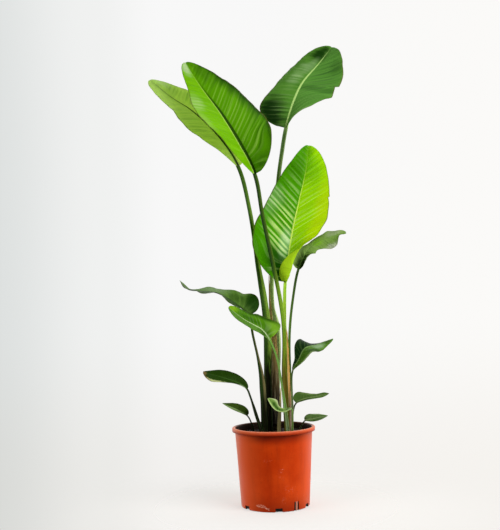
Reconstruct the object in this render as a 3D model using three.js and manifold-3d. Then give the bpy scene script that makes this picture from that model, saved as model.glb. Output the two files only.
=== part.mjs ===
// A young bird of paradise plant in a plain nursery pot.
// Millimetres, +Z up. The origin is the centre of the pot's flat base. The plant's show side faces -Y.

import * as THREE from 'three';
import { mergeVertices } from 'three/addons/utils/BufferGeometryUtils.js';
import Module from 'manifold-3d';

const wasm = await Module();
wasm.setup();

// Pot
const POT_HEIGHT = 224;
const BASE_RADIUS = 98.5;
const WALL_TOP_RADIUS = 112.5;
const RIM_RADIUS = 120;
const RIM_DROP = 11;
const WALL = 1.8;
const FLOOR = 2.6;
const POT_SIDES = 40;

// Drainage openings round the foot of the pot
const NOTCHES = 6;
const NOTCH = { first: 4, wide: 20, high: 11, deep: 10 };
const SLOT_PAIRS = 3;
const SLOT = { first: 35, wide: 5.5, high: 25, deep: 5, apart: 10.5 };

// Soil and the stems in it
const SOIL_TOP = 206;
const SOIL_SWELL = 3;
const SOIL_EDGE_DROP = 2;
const SOIL_RINGS = 4;
const ROOTED = 50;
const CLEAR = 0.35;

// Blades
const BLADE_THICK = 1.2;
const BLADE_START = 0.015;
const BLADE_END = 0.99;
const RIB_END = 0.97;
const TIP_RADIUS = 1;
const AXIS_STEPS = 40;
const RING_SPACING = { thick: 55, slim: 30 };

// Every leaf is one grown piece: a stalk, its midrib and its blade.
//   stalk   points from the soil to the blade, rib  points from there to the tip
//   upper   the way the upper side faces at the foot, at the blade's base, halfway and at the tip
//   girth   radius at the foot, radius at the blade, length of the swollen sheath, and the share
//           of that length that stays even, half if not given
//   mesh    steps along the blade, steps across each half, sides of the stalk
//   left, right  the halves, seen with the tip up and the upper side near:
//     wide  half width at even steps from base to tip, before the ends are rounded
//     fold  rise of the half from flat, in degrees; curl  its further bend out to the margin
//     sweep how far the veins run on towards the tip; wave  height and number of margin waves
const LEAVES = [
  { name: 'leaf_top_left_back', colour: 0x4f8a22, girth: [11.5, 6.2, 600], mesh: [15, 3, 8],
    stalk: [[-13, 8, 206], [-12, 14, 342], [-11, 22, 532], [-33, 30, 705], [-54, 36, 870],
      [-83, 42, 993]],
    rib: [[-142, 52, 1090], [-220, 62, 1171], [-284, 72, 1218], [-348, 80, 1275]],
    upper: [[0.2, -1, 0], [0.2, -1, 0.3], [0.3, -1, 0.8], [0.3, -1, 1.2]],
    left: { wide: [35, 60, 86, 98, 80, 66, 60, 59, 66], fold: [35, 25, 20],
      curl: [-15, -20, -20], sweep: 0.1 },
    right: { wide: [75, 82, 75, 65, 45], fold: [35, 20, 15], curl: [-15, -20, -20], sweep: 0.1 } },
  { name: 'leaf_top_left_front', colour: 0x5a9a1e, girth: [8.5, 6, 300], mesh: [15, 3, 8],
    stalk: [[38, -44, 206], [35, -48, 361], [35, -58, 531], [10, -64, 694], [-16, -62, 834],
      [-34, -45, 953]],
    rib: [[-77, -28, 1050], [-129, -5, 1145], [-188, 18, 1233], [-235, 34, 1313]],
    upper: [[0, -1, 0], [0.4, -1, 0.3], [0.45, -1, 0.5], [0.4, -1, 0.8]],
    left: { wide: [130, 94, 110, 72, 70], fold: [50, 30, 25], curl: [-15, -20, -20], sweep: 0.04 },
    right: { wide: [134, 128, 114, 80, 46], fold: [65, 15, 35], curl: [-20, -25, -25],
      sweep: 0.09 } },
  { name: 'leaf_top_right', colour: 0x2f6b2a, girth: [15.5, 6.2, 370, 0.82], mesh: [15, 3, 8],
    stalk: [[5, 36, 206], [8, 39, 340], [14, 44, 470], [7, 50, 621], [35, 66, 945],
      [51, 72, 1046], [64, 76, 1112]],
    rib: [[89, 95, 1194], [120, 120, 1262], [178, 155, 1334], [223, 175, 1392]],
    upper: [[0, -1, 0], [-0.1, -1, 0.2], [0, -1, 0.5], [0.2, -1, 0.8]],
    left: { wide: [194, 101, 74, 66, 55], fold: [15, 12, 10, 15, 25],
      curl: [-15, -30, -45, -45, -30], sweep: 0.09 },
    right: { wide: [42, 102, 104, 87, 77], fold: [75, 0, 35], curl: [-20, -15, -10],
      sweep: 0.15 } },
  { name: 'leaf_centre', colour: 0x7cb518, girth: [8.5, 4.8, 330], mesh: [16, 4, 8],
    stalk: [[44, -22, 206], [41, -22, 359], [40, -22, 503], [42, -20, 592], [45, -18, 639]],
    rib: [[67, -6, 773], [95, 8, 886], [120, 26, 985], [129, 36, 1052]],
    upper: [[0, -1, 0], [0, -1, 0.2], [0, -1, 0.3], [0, -1, 0.5]],
    left: { wide: [158, 130, 93, 73, 52], fold: [35, 5, 30], curl: [-15, -20, -20], sweep: 0.05 },
    right: { wide: [160, 78, 94, 86, 76], fold: [30, 12, 0, 5, 10],
      curl: [200, 172, 85, 0, -10, -15, -20, -20, -15], sweep: 0.02 } },
  { name: 'leaf_right_rolled', colour: 0x48702c, girth: [7.5, 3.8, 260], mesh: [12, 2, 6],
    stalk: [[46, -3, 206], [50, 0, 385], [56, 8, 507], [68, 18, 593], [87, 30, 679]],
    rib: [[114, 45, 733], [149, 58, 762], [191, 70, 778], [238, 78, 790]],
    upper: [[-0.3, -1, 0], [0.2, -1, 0.3], [0.5, -0.8, 0.3], [0.3, -0.8, 0.4]],
    left: { wide: [100, 64, 36, 20, 22], fold: [20, 35, 40, 25, 10], curl: [30, 60, 70, 40, 20],
      sweep: 0.05, wave: [2, 4] },
    right: { wide: [50, 48, 36, 22, 26, 42, 40, 12, 22], fold: [30, 40, 10, 20, 20],
      curl: [60, 70, -20, 20, 20], sweep: 0.05, wave: [5, 2.5] } },
  { name: 'leaf_left_waved', colour: 0x4b7a35, girth: [9.5, 3.8, 240], mesh: [14, 2, 6],
    stalk: [[-26, -16, 206], [-26, -14, 300], [-30, -11, 370], [-39, -10, 423], [-54, -12, 500],
      [-59, -14, 546]],
    rib: [[-92, -24, 577], [-153, -36, 615], [-207, -45, 622], [-236, -51, 627],
      [-259, -56, 653]],
    upper: [[0.6, -1, 0], [0.2, -0.5, 0.8], [0, -0.25, 1], [0, -0.15, 1]],
    left: { wide: [30, 46, 46, 37, 24], fold: [20, 12, 8], curl: [-10, -10, -10], sweep: 0.1,
      wave: [4, 3] },
    right: { wide: [144, 58, 44, 38, 26], fold: [35, 30, 12, 8, 10], curl: [-10, -10, -10],
      sweep: -0.06, wave: [3, 3.5] } },
  { name: 'leaf_left_boat', colour: 0x6aa321, girth: [5, 3, 150], mesh: [12, 2, 6],
    stalk: [[40, -66, 206], [27, -78, 335], [14, -88, 422], [1, -95, 463], [-7, -97, 480]],
    rib: [[-27, -104, 507], [-55, -112, 524], [-82, -120, 541], [-119, -129, 572]],
    upper: [[0.3, -1, 0], [0.3, -0.7, 0.6], [0.3, -0.6, 0.8], [0.2, -0.6, 0.9]],
    left: { wide: [18, 26, 22, 24, 20], fold: [12, 12, 12], curl: [-20, -20, -20], sweep: 0.1 },
    right: { wide: [116, 54, 48, 48, 52], fold: [30, 5, 0], curl: [-10, -10, -10],
      sweep: -0.08 } },
  { name: 'leaf_right_dark', colour: 0x234a2c, girth: [4, 2.4, 120], mesh: [12, 2, 6],
    stalk: [[52, -40, 206], [55, -35, 300], [59, -22, 384]],
    rib: [[77, -22, 414], [97, -18, 448], [133, -4, 457], [182, 12, 473]],
    upper: [[0, -1, 0], [-0.3, -1, 0.2], [-0.2, -0.8, 0.6], [0, -0.4, 1]],
    left: { wide: [10, 26, 66, 34, 12], fold: [20, 14, -14, -30, -20], curl: [-10, -10, -10],
      sweep: 0.1 },
    right: { wide: [20, 42, 40, 22, 13], fold: [50, 30, -20], curl: [0, -10, -20],
      sweep: 0.1 } },
  { name: 'leaf_low_left', colour: 0x2c5a24, girth: [5, 3, 110], mesh: [10, 2, 6],
    stalk: [[-34, -28, 206], [-49, -27, 262], [-66, -26, 318], [-73, -28, 336]],
    rib: [[-94, -32, 353], [-139, -44, 371], [-198, -54, 391]],
    upper: [[0.5, -1, 0], [0.3, -0.7, 0.5], [0, -0.6, 0.8], [0, -0.5, 1]],
    left: { wide: [8, 10, 19, 34, 38], fold: [10, 0, 0], curl: [-20, -20, -10], sweep: 0.1 },
    right: { wide: [26, 28, 27, 18, 8], fold: [40, 25, 15], curl: [-20, -20, -10],
      sweep: 0.1 } },
  { name: 'leaf_low_left_small', colour: 0x2f5e26, girth: [3, 2.2, 20], mesh: [8, 2, 6],
    stalk: [[-58, 35, 206], [-66, 32, 237], [-75, 30, 253]],
    rib: [[-102, 26, 272], [-148, 20, 292]],
    upper: [[0.3, -1, 0], [0.3, -0.7, 0.5], [0, -0.7, 0.8], [0, -0.5, 1]],
    left: { wide: [8, 10, 12, 10, 6], fold: [20, 20, 20], curl: [-20, -20, -10], sweep: 0.1 },
    right: { wide: [30, 20, 14, 9, 5], fold: [40, 25, 15], curl: [0, 0, 0], sweep: 0.1 } },
  { name: 'leaf_low_right', colour: 0x3f6e2e, girth: [3.5, 2.4, 40], mesh: [8, 2, 6],
    stalk: [[55, 25, 206], [60, 22, 267], [68, 20, 287]],
    rib: [[95, 18, 299], [124, 14, 305], [165, 8, 314]],
    upper: [[-0.3, -1, 0], [-0.3, -0.7, 0.6], [0, -0.6, 0.8], [0, -0.6, 1]],
    left: { wide: [60, 22, 13, 10, 6], fold: [40, 15, 5], curl: [0, -10, -10], sweep: 0.1,
      wave: [2, 1.5] },
    right: { wide: [14, 10, 10, 13, 7], fold: [30, 20, 10], curl: [-10, -20, -20],
      sweep: 0.1 } },
  { name: 'leaf_low_right_small', colour: 0x3d7030, girth: [3, 2.2, 20], mesh: [8, 2, 6],
    stalk: [[77, 30, 206], [84, 28, 222], [93, 26, 235]],
    rib: [[117, 22, 240], [160, 15, 249]],
    upper: [[-0.3, -1, 0], [-0.3, -0.7, 0.5], [0, -0.6, 0.8], [0, -0.6, 1]],
    left: { wide: [30, 20, 15, 10, 5], fold: [25, 12, 5], curl: [-10, -10, -10], sweep: 0.1 },
    right: { wide: [10, 14, 15, 12, 6], fold: [20, 20, 20], curl: [-10, -20, -20],
      sweep: 0.1 } },
  { name: 'leaf_low_front', colour: 0x5f9432, girth: [3, 2.2, 40], mesh: [8, 2, 6],
    stalk: [[50, -76, 206], [53, -86, 262], [50, -92, 284]],
    rib: [[29, -98, 277], [6, -104, 283], [-17, -108, 316]],
    upper: [[0, -1, 0], [0.1, -0.5, 0.8], [0.3, -0.5, 0.8], [0.7, -0.6, 0.5]],
    left: { wide: [6, 8, 10, 12, 8], fold: [40, 30, 20], curl: [0, 0, 0], sweep: 0.1 },
    right: { wide: [10, 12, 16, 22, 12], fold: [60, 50, 40], curl: [0, 0, 0], sweep: 0.1 } },
];

// The youngest leaf, still rolled in a spear
const SPEAR = {
  name: 'shoot_spear', colour: 0x8aa14a, sides: 6, steps: 8,
  path: [[13, -50, 206], [18, -51, 277], [23, -52, 339]], foot: 6, point: 0.8,
};

// A small dry shoot, arched over on the soil between the clumps
const DRY_SHOOT = {
  name: 'dry_shoot', colour: 0x1c1a12, sides: 6, steps: 8,
  path: [[15, -30, 206], [17, -30, 226], [24, -31, 236], [28, -32, 224]], foot: 2, point: 1.4,
};

// Dry, papery sheaths: strips bent round part of a stalk
//   leaf  whose stalk it follows; from, to  heights along that stalk
//   middle, span  degrees at the foot and at the top, from 0 on the right to 90 in front
const DRY_SHEATHS = [
  { name: 'dry_sheath_right', leaf: 'leaf_centre', from: 4, to: 300, middle: [62, 58],
    span: [150, 60], colour: 0x9a6b45 },
  { name: 'dry_sheath_left', leaf: 'leaf_top_right', from: 20, to: 470, middle: [95, 165],
    span: [165, 45], colour: 0x8f7442 },
];
const SHEATH_THICK = 0.9;
const SHEATH_LAG = 15;
const SHEATH_STEPS = 12;
const SHEATH_SPLITS = 4;

// Small helpers

const clamp01 = (x) => Math.min(1, Math.max(0, x));
const mix = (a, b, t) => a + (b - a) * t;
const radians = THREE.MathUtils.degToRad;
const vector = (p) => new THREE.Vector3(...p);

// A smooth curve through evenly spaced values, with u from 0 at the first to 1 at the last
function along(values, u) {
  const last = values.length - 1;
  const x = clamp01(u) * last;
  const i = Math.min(Math.floor(x), last - 1);
  const t = x - i;
  const b = values[i];
  const c = values[i + 1];
  const a = i > 0 ? values[i - 1] : 2 * b - c;
  const d = i + 2 <= last ? values[i + 2] : 2 * c - b;
  return b + 0.5 * t * (c - a + t * (2 * a - 5 * b + 4 * c - d + t * (3 * (b - c) + d - a)));
}

// Indexed triangles to a solid, and a solid to a mesh
function solidOf(points, triangles) {
  const vertProperties = new Float32Array(points.flatMap((p) => [p.x, p.y, p.z]));
  const triVerts = new Uint32Array(triangles.flat());
  return new wasm.Manifold(new wasm.Mesh({ numProp: 3, vertProperties, triVerts }));
}

function solidFromGeometry(geometry) {
  const bare = geometry.clone();
  bare.deleteAttribute('normal');
  bare.deleteAttribute('uv');
  const merged = mergeVertices(bare, 1e-4);
  const vertProperties = new Float32Array(merged.attributes.position.array);
  const triVerts = new Uint32Array(merged.index.array);
  return new wasm.Manifold(new wasm.Mesh({ numProp: 3, vertProperties, triVerts }));
}

function meshOf(name, solid, colour, roughness = 0.5) {
  const { vertProperties, triVerts } = solid.getMesh();
  const geometry = new THREE.BufferGeometry();
  geometry.setAttribute('position', new THREE.BufferAttribute(vertProperties, 3));
  geometry.setIndex(new THREE.BufferAttribute(triVerts, 1));
  geometry.computeVertexNormals();
  const material = new THREE.MeshStandardMaterial({ color: colour, roughness, metalness: 0 });
  const mesh = new THREE.Mesh(geometry, material);
  mesh.name = name;
  return mesh;
}

// The line that a leaf grows along, with its place, direction, right side and upper side
class GrowthLine {
  constructor(points, joint, upper) {
    const curve = new THREE.CatmullRomCurve3(points.map(vector), false, 'centripetal');
    const samples = (points.length - 1) * AXIS_STEPS;
    this.points = Array.from({ length: samples + 1 }, (_, i) => curve.getPoint(i / samples));
    this.lengths = [0];
    for (let i = 1; i <= samples; i += 1) {
      this.lengths.push(this.lengths[i - 1] + this.points[i].distanceTo(this.points[i - 1]));
    }
    this.base = this.lengths[joint * AXIS_STEPS];
    this.total = this.lengths[samples];
    this.upper = upper.map(vector);
  }

  facing(length) {
    const knots = [0, this.base, (this.base + this.total) / 2, this.total];
    let k = 0;
    while (k < 2 && length > knots[k + 1]) k += 1;
    const t = clamp01((length - knots[k]) / (knots[k + 1] - knots[k]));
    return this.upper[k].clone().lerp(this.upper[k + 1], t);
  }

  at(length) {
    const last = this.lengths.length - 1;
    let i = 1;
    while (i < last && this.lengths[i] < length) i += 1;
    const t = clamp01((length - this.lengths[i - 1]) / (this.lengths[i] - this.lengths[i - 1]));
    const place = this.points[i - 1].clone().lerp(this.points[i], t);
    const before = this.points[Math.max(i - 2, 0)];
    const after = this.points[Math.min(i + 1, last)];
    const forward = after.clone().sub(before).normalize();
    const face = this.facing(length);
    const up = face.addScaledVector(forward, -face.dot(forward)).normalize();
    const right = forward.clone().cross(up);
    return { place, forward, right, up };
  }
}

// A closed tube from rings of points
function tubeFromRings(rings) {
  const sides = rings[0].length;
  const points = rings.flat();
  const triangles = [];
  for (let i = 0; i + 1 < rings.length; i += 1) {
    for (let k = 0; k < sides; k += 1) {
      const a = i * sides + k;
      const b = i * sides + ((k + 1) % sides);
      triangles.push([a, b, b + sides], [a, b + sides, a + sides]);
    }
  }
  const top = (rings.length - 1) * sides;
  for (let k = 1; k + 1 < sides; k += 1) {
    triangles.push([0, k + 1, k], [top, top + k, top + k + 1]);
  }
  return solidOf(points, triangles);
}

// A stalk's section is round below and flatter above, where the channel runs
function stalkRing(frame, radius, sides) {
  const ring = [];
  for (let k = 0; k < sides; k += 1) {
    const angle = (2 * Math.PI * (k + 0.5)) / sides;
    const across = radius * Math.cos(angle);
    const high = radius * (Math.sin(angle) * (Math.sin(angle) > 0 ? 0.6 : 1) - 0.2);
    ring.push(frame.place.clone().addScaledVector(frame.right, -across)
      .addScaledVector(frame.up, high));
  }
  return ring;
}

function growthLine(leaf) {
  const [x, y, z] = leaf.stalk[0];
  const points = [[x, y, z - ROOTED], ...leaf.stalk, ...leaf.rib];
  return new GrowthLine(points, leaf.stalk.length, leaf.upper);
}

// Radius of the stalk: even along the lower part of the sheath, narrower up to the sheath's end,
// then even again, and along the blade it tapers as the midrib
function girthAt(line, leaf, length, spare = 0) {
  const [foot, top, sheath, even = 0.5] = leaf.girth;
  if (length > line.base) {
    const t = (length - line.base) / (line.total - line.base);
    return mix(top, TIP_RADIUS, t) + spare;
  }
  const t = clamp01(((length - ROOTED) / sheath - even) / (1 - even));
  return mix(foot, top, t * t * (3 - 2 * t)) + spare;
}

// The same rings make the stalk and, swollen by a clearance, the stub that cuts its hole
function stalkSolid(line, leaf, spare = 0, withRib = true) {
  const sides = leaf.mesh[2];
  const spacing = sides > 6 ? RING_SPACING.thick : RING_SPACING.slim;
  const lengths = [];
  const steps = Math.max(3, Math.round(line.base / spacing));
  for (let i = 0; i <= steps; i += 1) lengths.push((line.base * i) / steps);
  if (withRib) {
    const rib = (line.total - line.base) * RIB_END;
    const ribSteps = Math.max(4, Math.round(rib / spacing));
    for (let i = 1; i <= ribSteps; i += 1) lengths.push(line.base + (rib * i) / ribSteps);
  }
  const rings = lengths.map((length) => (
    stalkRing(line.at(length), girthAt(line, leaf, length, spare), sides)));
  return tubeFromRings(rings);
}

// A point of the blade: s runs from base to tip, v from -1 at the left margin to 1 at the right
function bladePoint(line, leaf, s, v) {
  const half = v < 0 ? leaf.left : leaf.right;
  const side = v < 0 ? -1 : 1;
  const out = Math.abs(v);
  const long = line.total - line.base;
  const width = Math.sqrt(4 * s * (1 - s)) * along(half.wide, s);
  const reach = long * (s + half.sweep * Math.sin(Math.PI * s) * out ** 1.5);
  const u = clamp01(reach / long);
  const fold = radians(along(half.fold, u));
  const bend = radians(along(half.curl, u));
  const curl = Math.abs(bend) < 1e-3 ? 1e-3 : bend;
  const lean = fold + curl * out;
  const [height, count] = half.wave ?? [0, 1];
  const fade = clamp01(2 * Math.sin(Math.PI * s));
  const ripple = height * out * out * Math.sin(2 * Math.PI * count * s) * fade;
  const across = (width * (Math.sin(lean) - Math.sin(fold))) / curl - ripple * Math.sin(lean);
  const high = (width * (Math.cos(fold) - Math.cos(lean))) / curl + ripple * Math.cos(lean);
  const frame = line.at(line.base + reach);
  return frame.place.addScaledVector(frame.right, side * across).addScaledVector(frame.up, high);
}

// A thin solid between two grids of points, with the same triangles on its upper and lower faces
function thinSolid(upper, lower, columns) {
  const under = upper.length;
  const steps = under / columns - 1;
  const triangles = [];
  for (let i = 0; i < steps; i += 1) {
    for (let j = 0; j + 1 < columns; j += 1) {
      const a = i * columns + j;
      const b = a + 1;
      const c = b + columns;
      const d = a + columns;
      triangles.push([a, b, c], [a, c, d]);
      triangles.push([under + a, under + c, under + b], [under + a, under + d, under + c]);
    }
  }
  const wall = (a, b) => triangles.push([b, a, under + a], [b, under + a, under + b]);
  for (let j = 0; j + 1 < columns; j += 1) {
    wall(j, j + 1);
    wall(steps * columns + j + 1, steps * columns + j);
  }
  for (let i = 0; i < steps; i += 1) {
    wall((i + 1) * columns, i * columns);
    wall(i * columns + columns - 1, (i + 1) * columns + columns - 1);
  }
  return solidOf([...upper, ...lower], triangles);
}

// The blade lies half of its thickness to each side of its middle surface
function bladeSolid(line, leaf) {
  const [steps, splits] = leaf.mesh;
  const columns = 2 * splits + 1;
  const grid = [];
  for (let i = 0; i <= steps; i += 1) {
    const s = mix(BLADE_START, BLADE_END, 0.5 - 0.5 * Math.cos((Math.PI * i) / steps));
    const row = [];
    for (let j = -splits; j <= splits; j += 1) row.push(bladePoint(line, leaf, s, j / splits));
    grid.push(row);
  }
  const upper = [];
  const lower = [];
  grid.forEach((row, i) => row.forEach((point, j) => {
    const onward = grid[Math.min(i + 1, steps)][j].clone().sub(grid[Math.max(i - 1, 0)][j]);
    const across = row[Math.min(j + 1, columns - 1)].clone().sub(row[Math.max(j - 1, 0)]);
    const normal = across.cross(onward).normalize();
    upper.push(point.clone().addScaledVector(normal, BLADE_THICK / 2));
    lower.push(point.clone().addScaledVector(normal, -BLADE_THICK / 2));
  }));
  return thinSolid(upper, lower, columns);
}

function leafSolid(line, leaf) {
  return stalkSolid(line, leaf).add(bladeSolid(line, leaf));
}

// Spears and dry shoots are plain tapered tubes
function taperedSolid(piece, spare = 0) {
  const [x, y, z] = piece.path[0];
  const points = [[x, y, z - ROOTED], ...piece.path];
  const line = new GrowthLine(points, 1, Array(4).fill([0, -1, 0]));
  const rings = [];
  for (let i = 0; i <= piece.steps; i += 1) {
    const t = i / piece.steps;
    const radius = mix(piece.foot, piece.point, clamp01(t * 1.5 - 0.5) ** 2) + spare;
    rings.push(stalkRing(line.at(line.total * t), radius, piece.sides));
  }
  return tubeFromRings(rings);
}

// A dry sheath is a strip bent round one side of a stalk, as wide as the stalk a little below it
function sheathSolid(sheath, line, leaf) {
  const outer = [];
  const inner = [];
  for (let i = 0; i <= SHEATH_STEPS; i += 1) {
    const t = i / SHEATH_STEPS;
    const length = ROOTED + mix(sheath.from, sheath.to, t);
    const frame = line.at(length);
    const middle = mix(sheath.middle[0], sheath.middle[1], t);
    const span = mix(sheath.span[0], sheath.span[1], t ** 1.5);
    const drop = 0.2 * girthAt(line, leaf, length);
    const edge = (angle, radius) => frame.place.clone()
      .addScaledVector(frame.right, radius * Math.cos(angle))
      .addScaledVector(frame.up, radius * Math.sin(angle) - drop);
    const near = girthAt(line, leaf, length - SHEATH_LAG, CLEAR);
    for (let k = SHEATH_SPLITS; k >= 0; k -= 1) {
      const angle = radians(middle + span * (k / SHEATH_SPLITS - 0.5));
      outer.push(edge(angle, near + SHEATH_THICK));
      inner.push(edge(angle, near));
    }
  }
  return thinSolid(outer, inner, SHEATH_SPLITS + 1);
}

// Pot: one wall with a turned-out rim that is hollow underneath
function rounded(path, centreR, centreZ, radius, from, to, steps) {
  for (let i = 0; i <= steps; i += 1) {
    const angle = radians(mix(from, to, i / steps));
    path.push(new THREE.Vector2(centreR + radius * Math.cos(angle),
      centreZ + radius * Math.sin(angle)));
  }
}

function potSolid() {
  const under = POT_HEIGHT - WALL;
  const path = [new THREE.Vector2(0, 0)];
  rounded(path, BASE_RADIUS - 2, 2, 2, -90, 0, 3);
  path.push(new THREE.Vector2(WALL_TOP_RADIUS, under));
  path.push(new THREE.Vector2(RIM_RADIUS - WALL, under));
  path.push(new THREE.Vector2(RIM_RADIUS - WALL, POT_HEIGHT - RIM_DROP));
  path.push(new THREE.Vector2(RIM_RADIUS, POT_HEIGHT - RIM_DROP));
  rounded(path, RIM_RADIUS - 3, POT_HEIGHT - 3, 3, 0, 90, 4);
  rounded(path, WALL_TOP_RADIUS - WALL + 3, POT_HEIGHT - 3, 3, 90, 180, 4);
  path.push(new THREE.Vector2(BASE_RADIUS - WALL, FLOOR));
  path.push(new THREE.Vector2(0, FLOOR));
  const turned = new THREE.LatheGeometry(path, POT_SIDES).rotateX(Math.PI / 2);
  let pot = solidFromGeometry(turned);
  const cut = (degrees, shift, { wide, high, deep }) => {
    const outer = BASE_RADIUS + 8;
    const inner = BASE_RADIUS - deep;
    const box = new THREE.BoxGeometry(wide, outer - inner, high + 2);
    box.translate(shift, -(outer + inner) / 2, high / 2 - 1);
    box.rotateZ(radians(degrees));
    pot = pot.subtract(solidFromGeometry(box));
  };
  for (let i = 0; i < NOTCHES; i += 1) cut(NOTCH.first + (360 * i) / NOTCHES, 0, NOTCH);
  for (let i = 0; i < SLOT_PAIRS; i += 1) {
    const degrees = SLOT.first + (360 * i) / SLOT_PAIRS;
    cut(degrees, -SLOT.apart / 2, SLOT);
    cut(degrees, SLOT.apart / 2, SLOT);
  }
  return pot;
}

// Soil: a plug that swells a little in the middle, with a plain hole for each stem
function soilSolid(stems) {
  const slope = (WALL_TOP_RADIUS - BASE_RADIUS) / (POT_HEIGHT - FLOOR);
  const edge = (z) => BASE_RADIUS - WALL + slope * (z - FLOOR) - CLEAR;
  const rimHeight = SOIL_TOP - SOIL_EDGE_DROP;
  const path = [new THREE.Vector2(0, FLOOR + CLEAR)];
  path.push(new THREE.Vector2(edge(FLOOR), FLOOR + CLEAR));
  for (let i = 0; i <= SOIL_RINGS; i += 1) {
    const t = i / SOIL_RINGS;
    const swell = SOIL_SWELL * Math.sin((Math.PI / 2) * t);
    path.push(new THREE.Vector2(edge(rimHeight) * (1 - t), rimHeight + swell));
  }
  const turned = new THREE.LatheGeometry(path, POT_SIDES).rotateX(Math.PI / 2);
  let soil = solidFromGeometry(turned);
  for (const stem of stems) soil = soil.subtract(stem);
  return soil;
}

// Assemble

const plant = new THREE.Group();
const stems = [];
const lines = {};

for (const leaf of LEAVES) {
  const line = growthLine(leaf);
  lines[leaf.name] = { line, leaf };
  plant.add(meshOf(leaf.name, leafSolid(line, leaf), leaf.colour, 0.45));
  stems.push(stalkSolid(line, leaf, CLEAR, false));
}
for (const piece of [SPEAR, DRY_SHOOT]) {
  plant.add(meshOf(piece.name, taperedSolid(piece), piece.colour, 0.6));
  stems.push(taperedSolid(piece, CLEAR));
}
for (const sheath of DRY_SHEATHS) {
  const { line, leaf } = lines[sheath.leaf];
  plant.add(meshOf(sheath.name, sheathSolid(sheath, line, leaf), sheath.colour, 0.8));
}
plant.add(meshOf('soil', soilSolid(stems), 0x1d1713, 0.95));
plant.add(meshOf('pot', potSolid(), 0xb4461f, 0.45));

export default plant;
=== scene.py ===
# %% [markdown]
# # A potted bird of paradise
# This lesson dresses a young bird of paradise plant in a plain nursery pot. The plain solids of the
# plant, the soil and the pot come from the CAD frame. Here each of them gets a finer surface in the
# same place: pleated blades, channelled stalks, papery sheaths, crumbly soil and a moulded pot.
# Everything is in metres, +Z is up, and the plant's show side faces -Y.

import math

import bpy
import numpy as np
from mathutils import Matrix, Vector


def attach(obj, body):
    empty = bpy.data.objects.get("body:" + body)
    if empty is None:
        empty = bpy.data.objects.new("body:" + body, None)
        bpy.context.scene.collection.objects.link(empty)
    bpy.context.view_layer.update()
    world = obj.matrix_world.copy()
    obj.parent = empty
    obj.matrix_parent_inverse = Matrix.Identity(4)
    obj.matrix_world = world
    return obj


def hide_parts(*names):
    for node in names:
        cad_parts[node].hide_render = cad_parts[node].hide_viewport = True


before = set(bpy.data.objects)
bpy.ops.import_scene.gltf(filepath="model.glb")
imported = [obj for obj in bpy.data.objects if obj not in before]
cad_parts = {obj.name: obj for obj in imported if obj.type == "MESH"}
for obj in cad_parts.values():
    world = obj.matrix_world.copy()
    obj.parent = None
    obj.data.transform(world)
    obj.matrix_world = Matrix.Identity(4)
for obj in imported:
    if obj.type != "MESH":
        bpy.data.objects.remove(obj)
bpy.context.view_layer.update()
MM = 0.001

# %% [markdown]
# ## Camera
# The photograph was taken from about two and a half metres away, a little below the middle of the
# plant, with the camera tipped up by a few degrees and not quite level. The lens is worked out from
# the focal length in picture heights, so that the pot's rim shows the same narrow ellipse.

# %% Camera
EYE = (-0.056, -2.49, 0.56)
TIPPED_UP = 3.1
OFF_LEVEL = 1.5
PICTURE_HEIGHT = 530
FOCAL_PIXELS = 850
SENSOR = 36

camera_data = bpy.data.cameras.new("camera")
camera_data.sensor_width = SENSOR
camera_data.lens = FOCAL_PIXELS / PICTURE_HEIGHT * SENSOR
camera = bpy.data.objects.new("camera", camera_data)
tip = Matrix.Rotation(math.radians(90 + TIPPED_UP), 4, "X")
turn = Matrix.Rotation(math.radians(-OFF_LEVEL), 4, "Z")
camera.matrix_world = Matrix.Translation(EYE) @ tip @ turn
bpy.context.scene.collection.objects.link(camera)
bpy.context.scene.camera = camera
print(f"camera {camera_data.lens:.1f} mm, {abs(EYE[1]):.2f} m in front of the pot")

# %% [markdown]
# ## A recipe for materials
# Every finish here is a chain of nodes, which is long when it is written out by hand. So a recipe
# makes each node in one short call, and what a node gives out is a flow. Flows can be added and
# multiplied like numbers, and each such sign makes one math node.

# %% Recipes and flows
def srgb(red, green, blue):
    """A tone in 0 to 255 screen values, as the linear values that Blender's sockets take."""
    share = np.array([red, green, blue]) / 255
    linear = np.where(share <= 0.04045, share / 12.92, ((share + 0.055) / 1.055) ** 2.4)
    return (*[float(x) for x in linear], 1.0)


def scaled(tone, factor):
    """A tone made darker or lighter, as linear values."""
    return (*[min(1.0, factor * part) for part in srgb(*tone)[:3]], 1.0)


class Flow:
    """What one node gives out: a number, a vector or a colour at every place."""

    def __init__(self, recipe, socket):
        self.recipe, self.socket = recipe, socket

    def math(self, operation, other=0.0):
        """One math node, with this flow as its first number."""
        return self.recipe.node("ShaderNodeMath", {0: self, 1: other}, operation=operation)

    def __add__(self, other):
        return self.math("ADD", other)

    def __sub__(self, other):
        return self.math("SUBTRACT", other)

    def __mul__(self, other):
        return self.math("MULTIPLY", other)

    def __truediv__(self, other):
        return self.math("DIVIDE", other)

    def __abs__(self):
        return self.math("ABSOLUTE")

    def larger(self, other):
        return self.math("MAXIMUM", other)

    def step(self, low, high, start=0.0, end=1.0):
        """Start below low, end above high, and a smooth change between them."""
        inputs = {"Value": self, "From Min": low, "From Max": high, "To Min": start, "To Max": end}
        return self.recipe.node("ShaderNodeMapRange", inputs, interpolation_type="SMOOTHSTEP")

    def split(self):
        parts = self.recipe.add("ShaderNodeSeparateXYZ", {0: self}).outputs
        return [Flow(self.recipe, part) for part in parts]

    def tint(self, red, green, blue):
        """This colour with its parts multiplied by these factors."""
        return self.recipe.mix(1.0, self, (red, green, blue, 1.0), "MULTIPLY")


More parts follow.
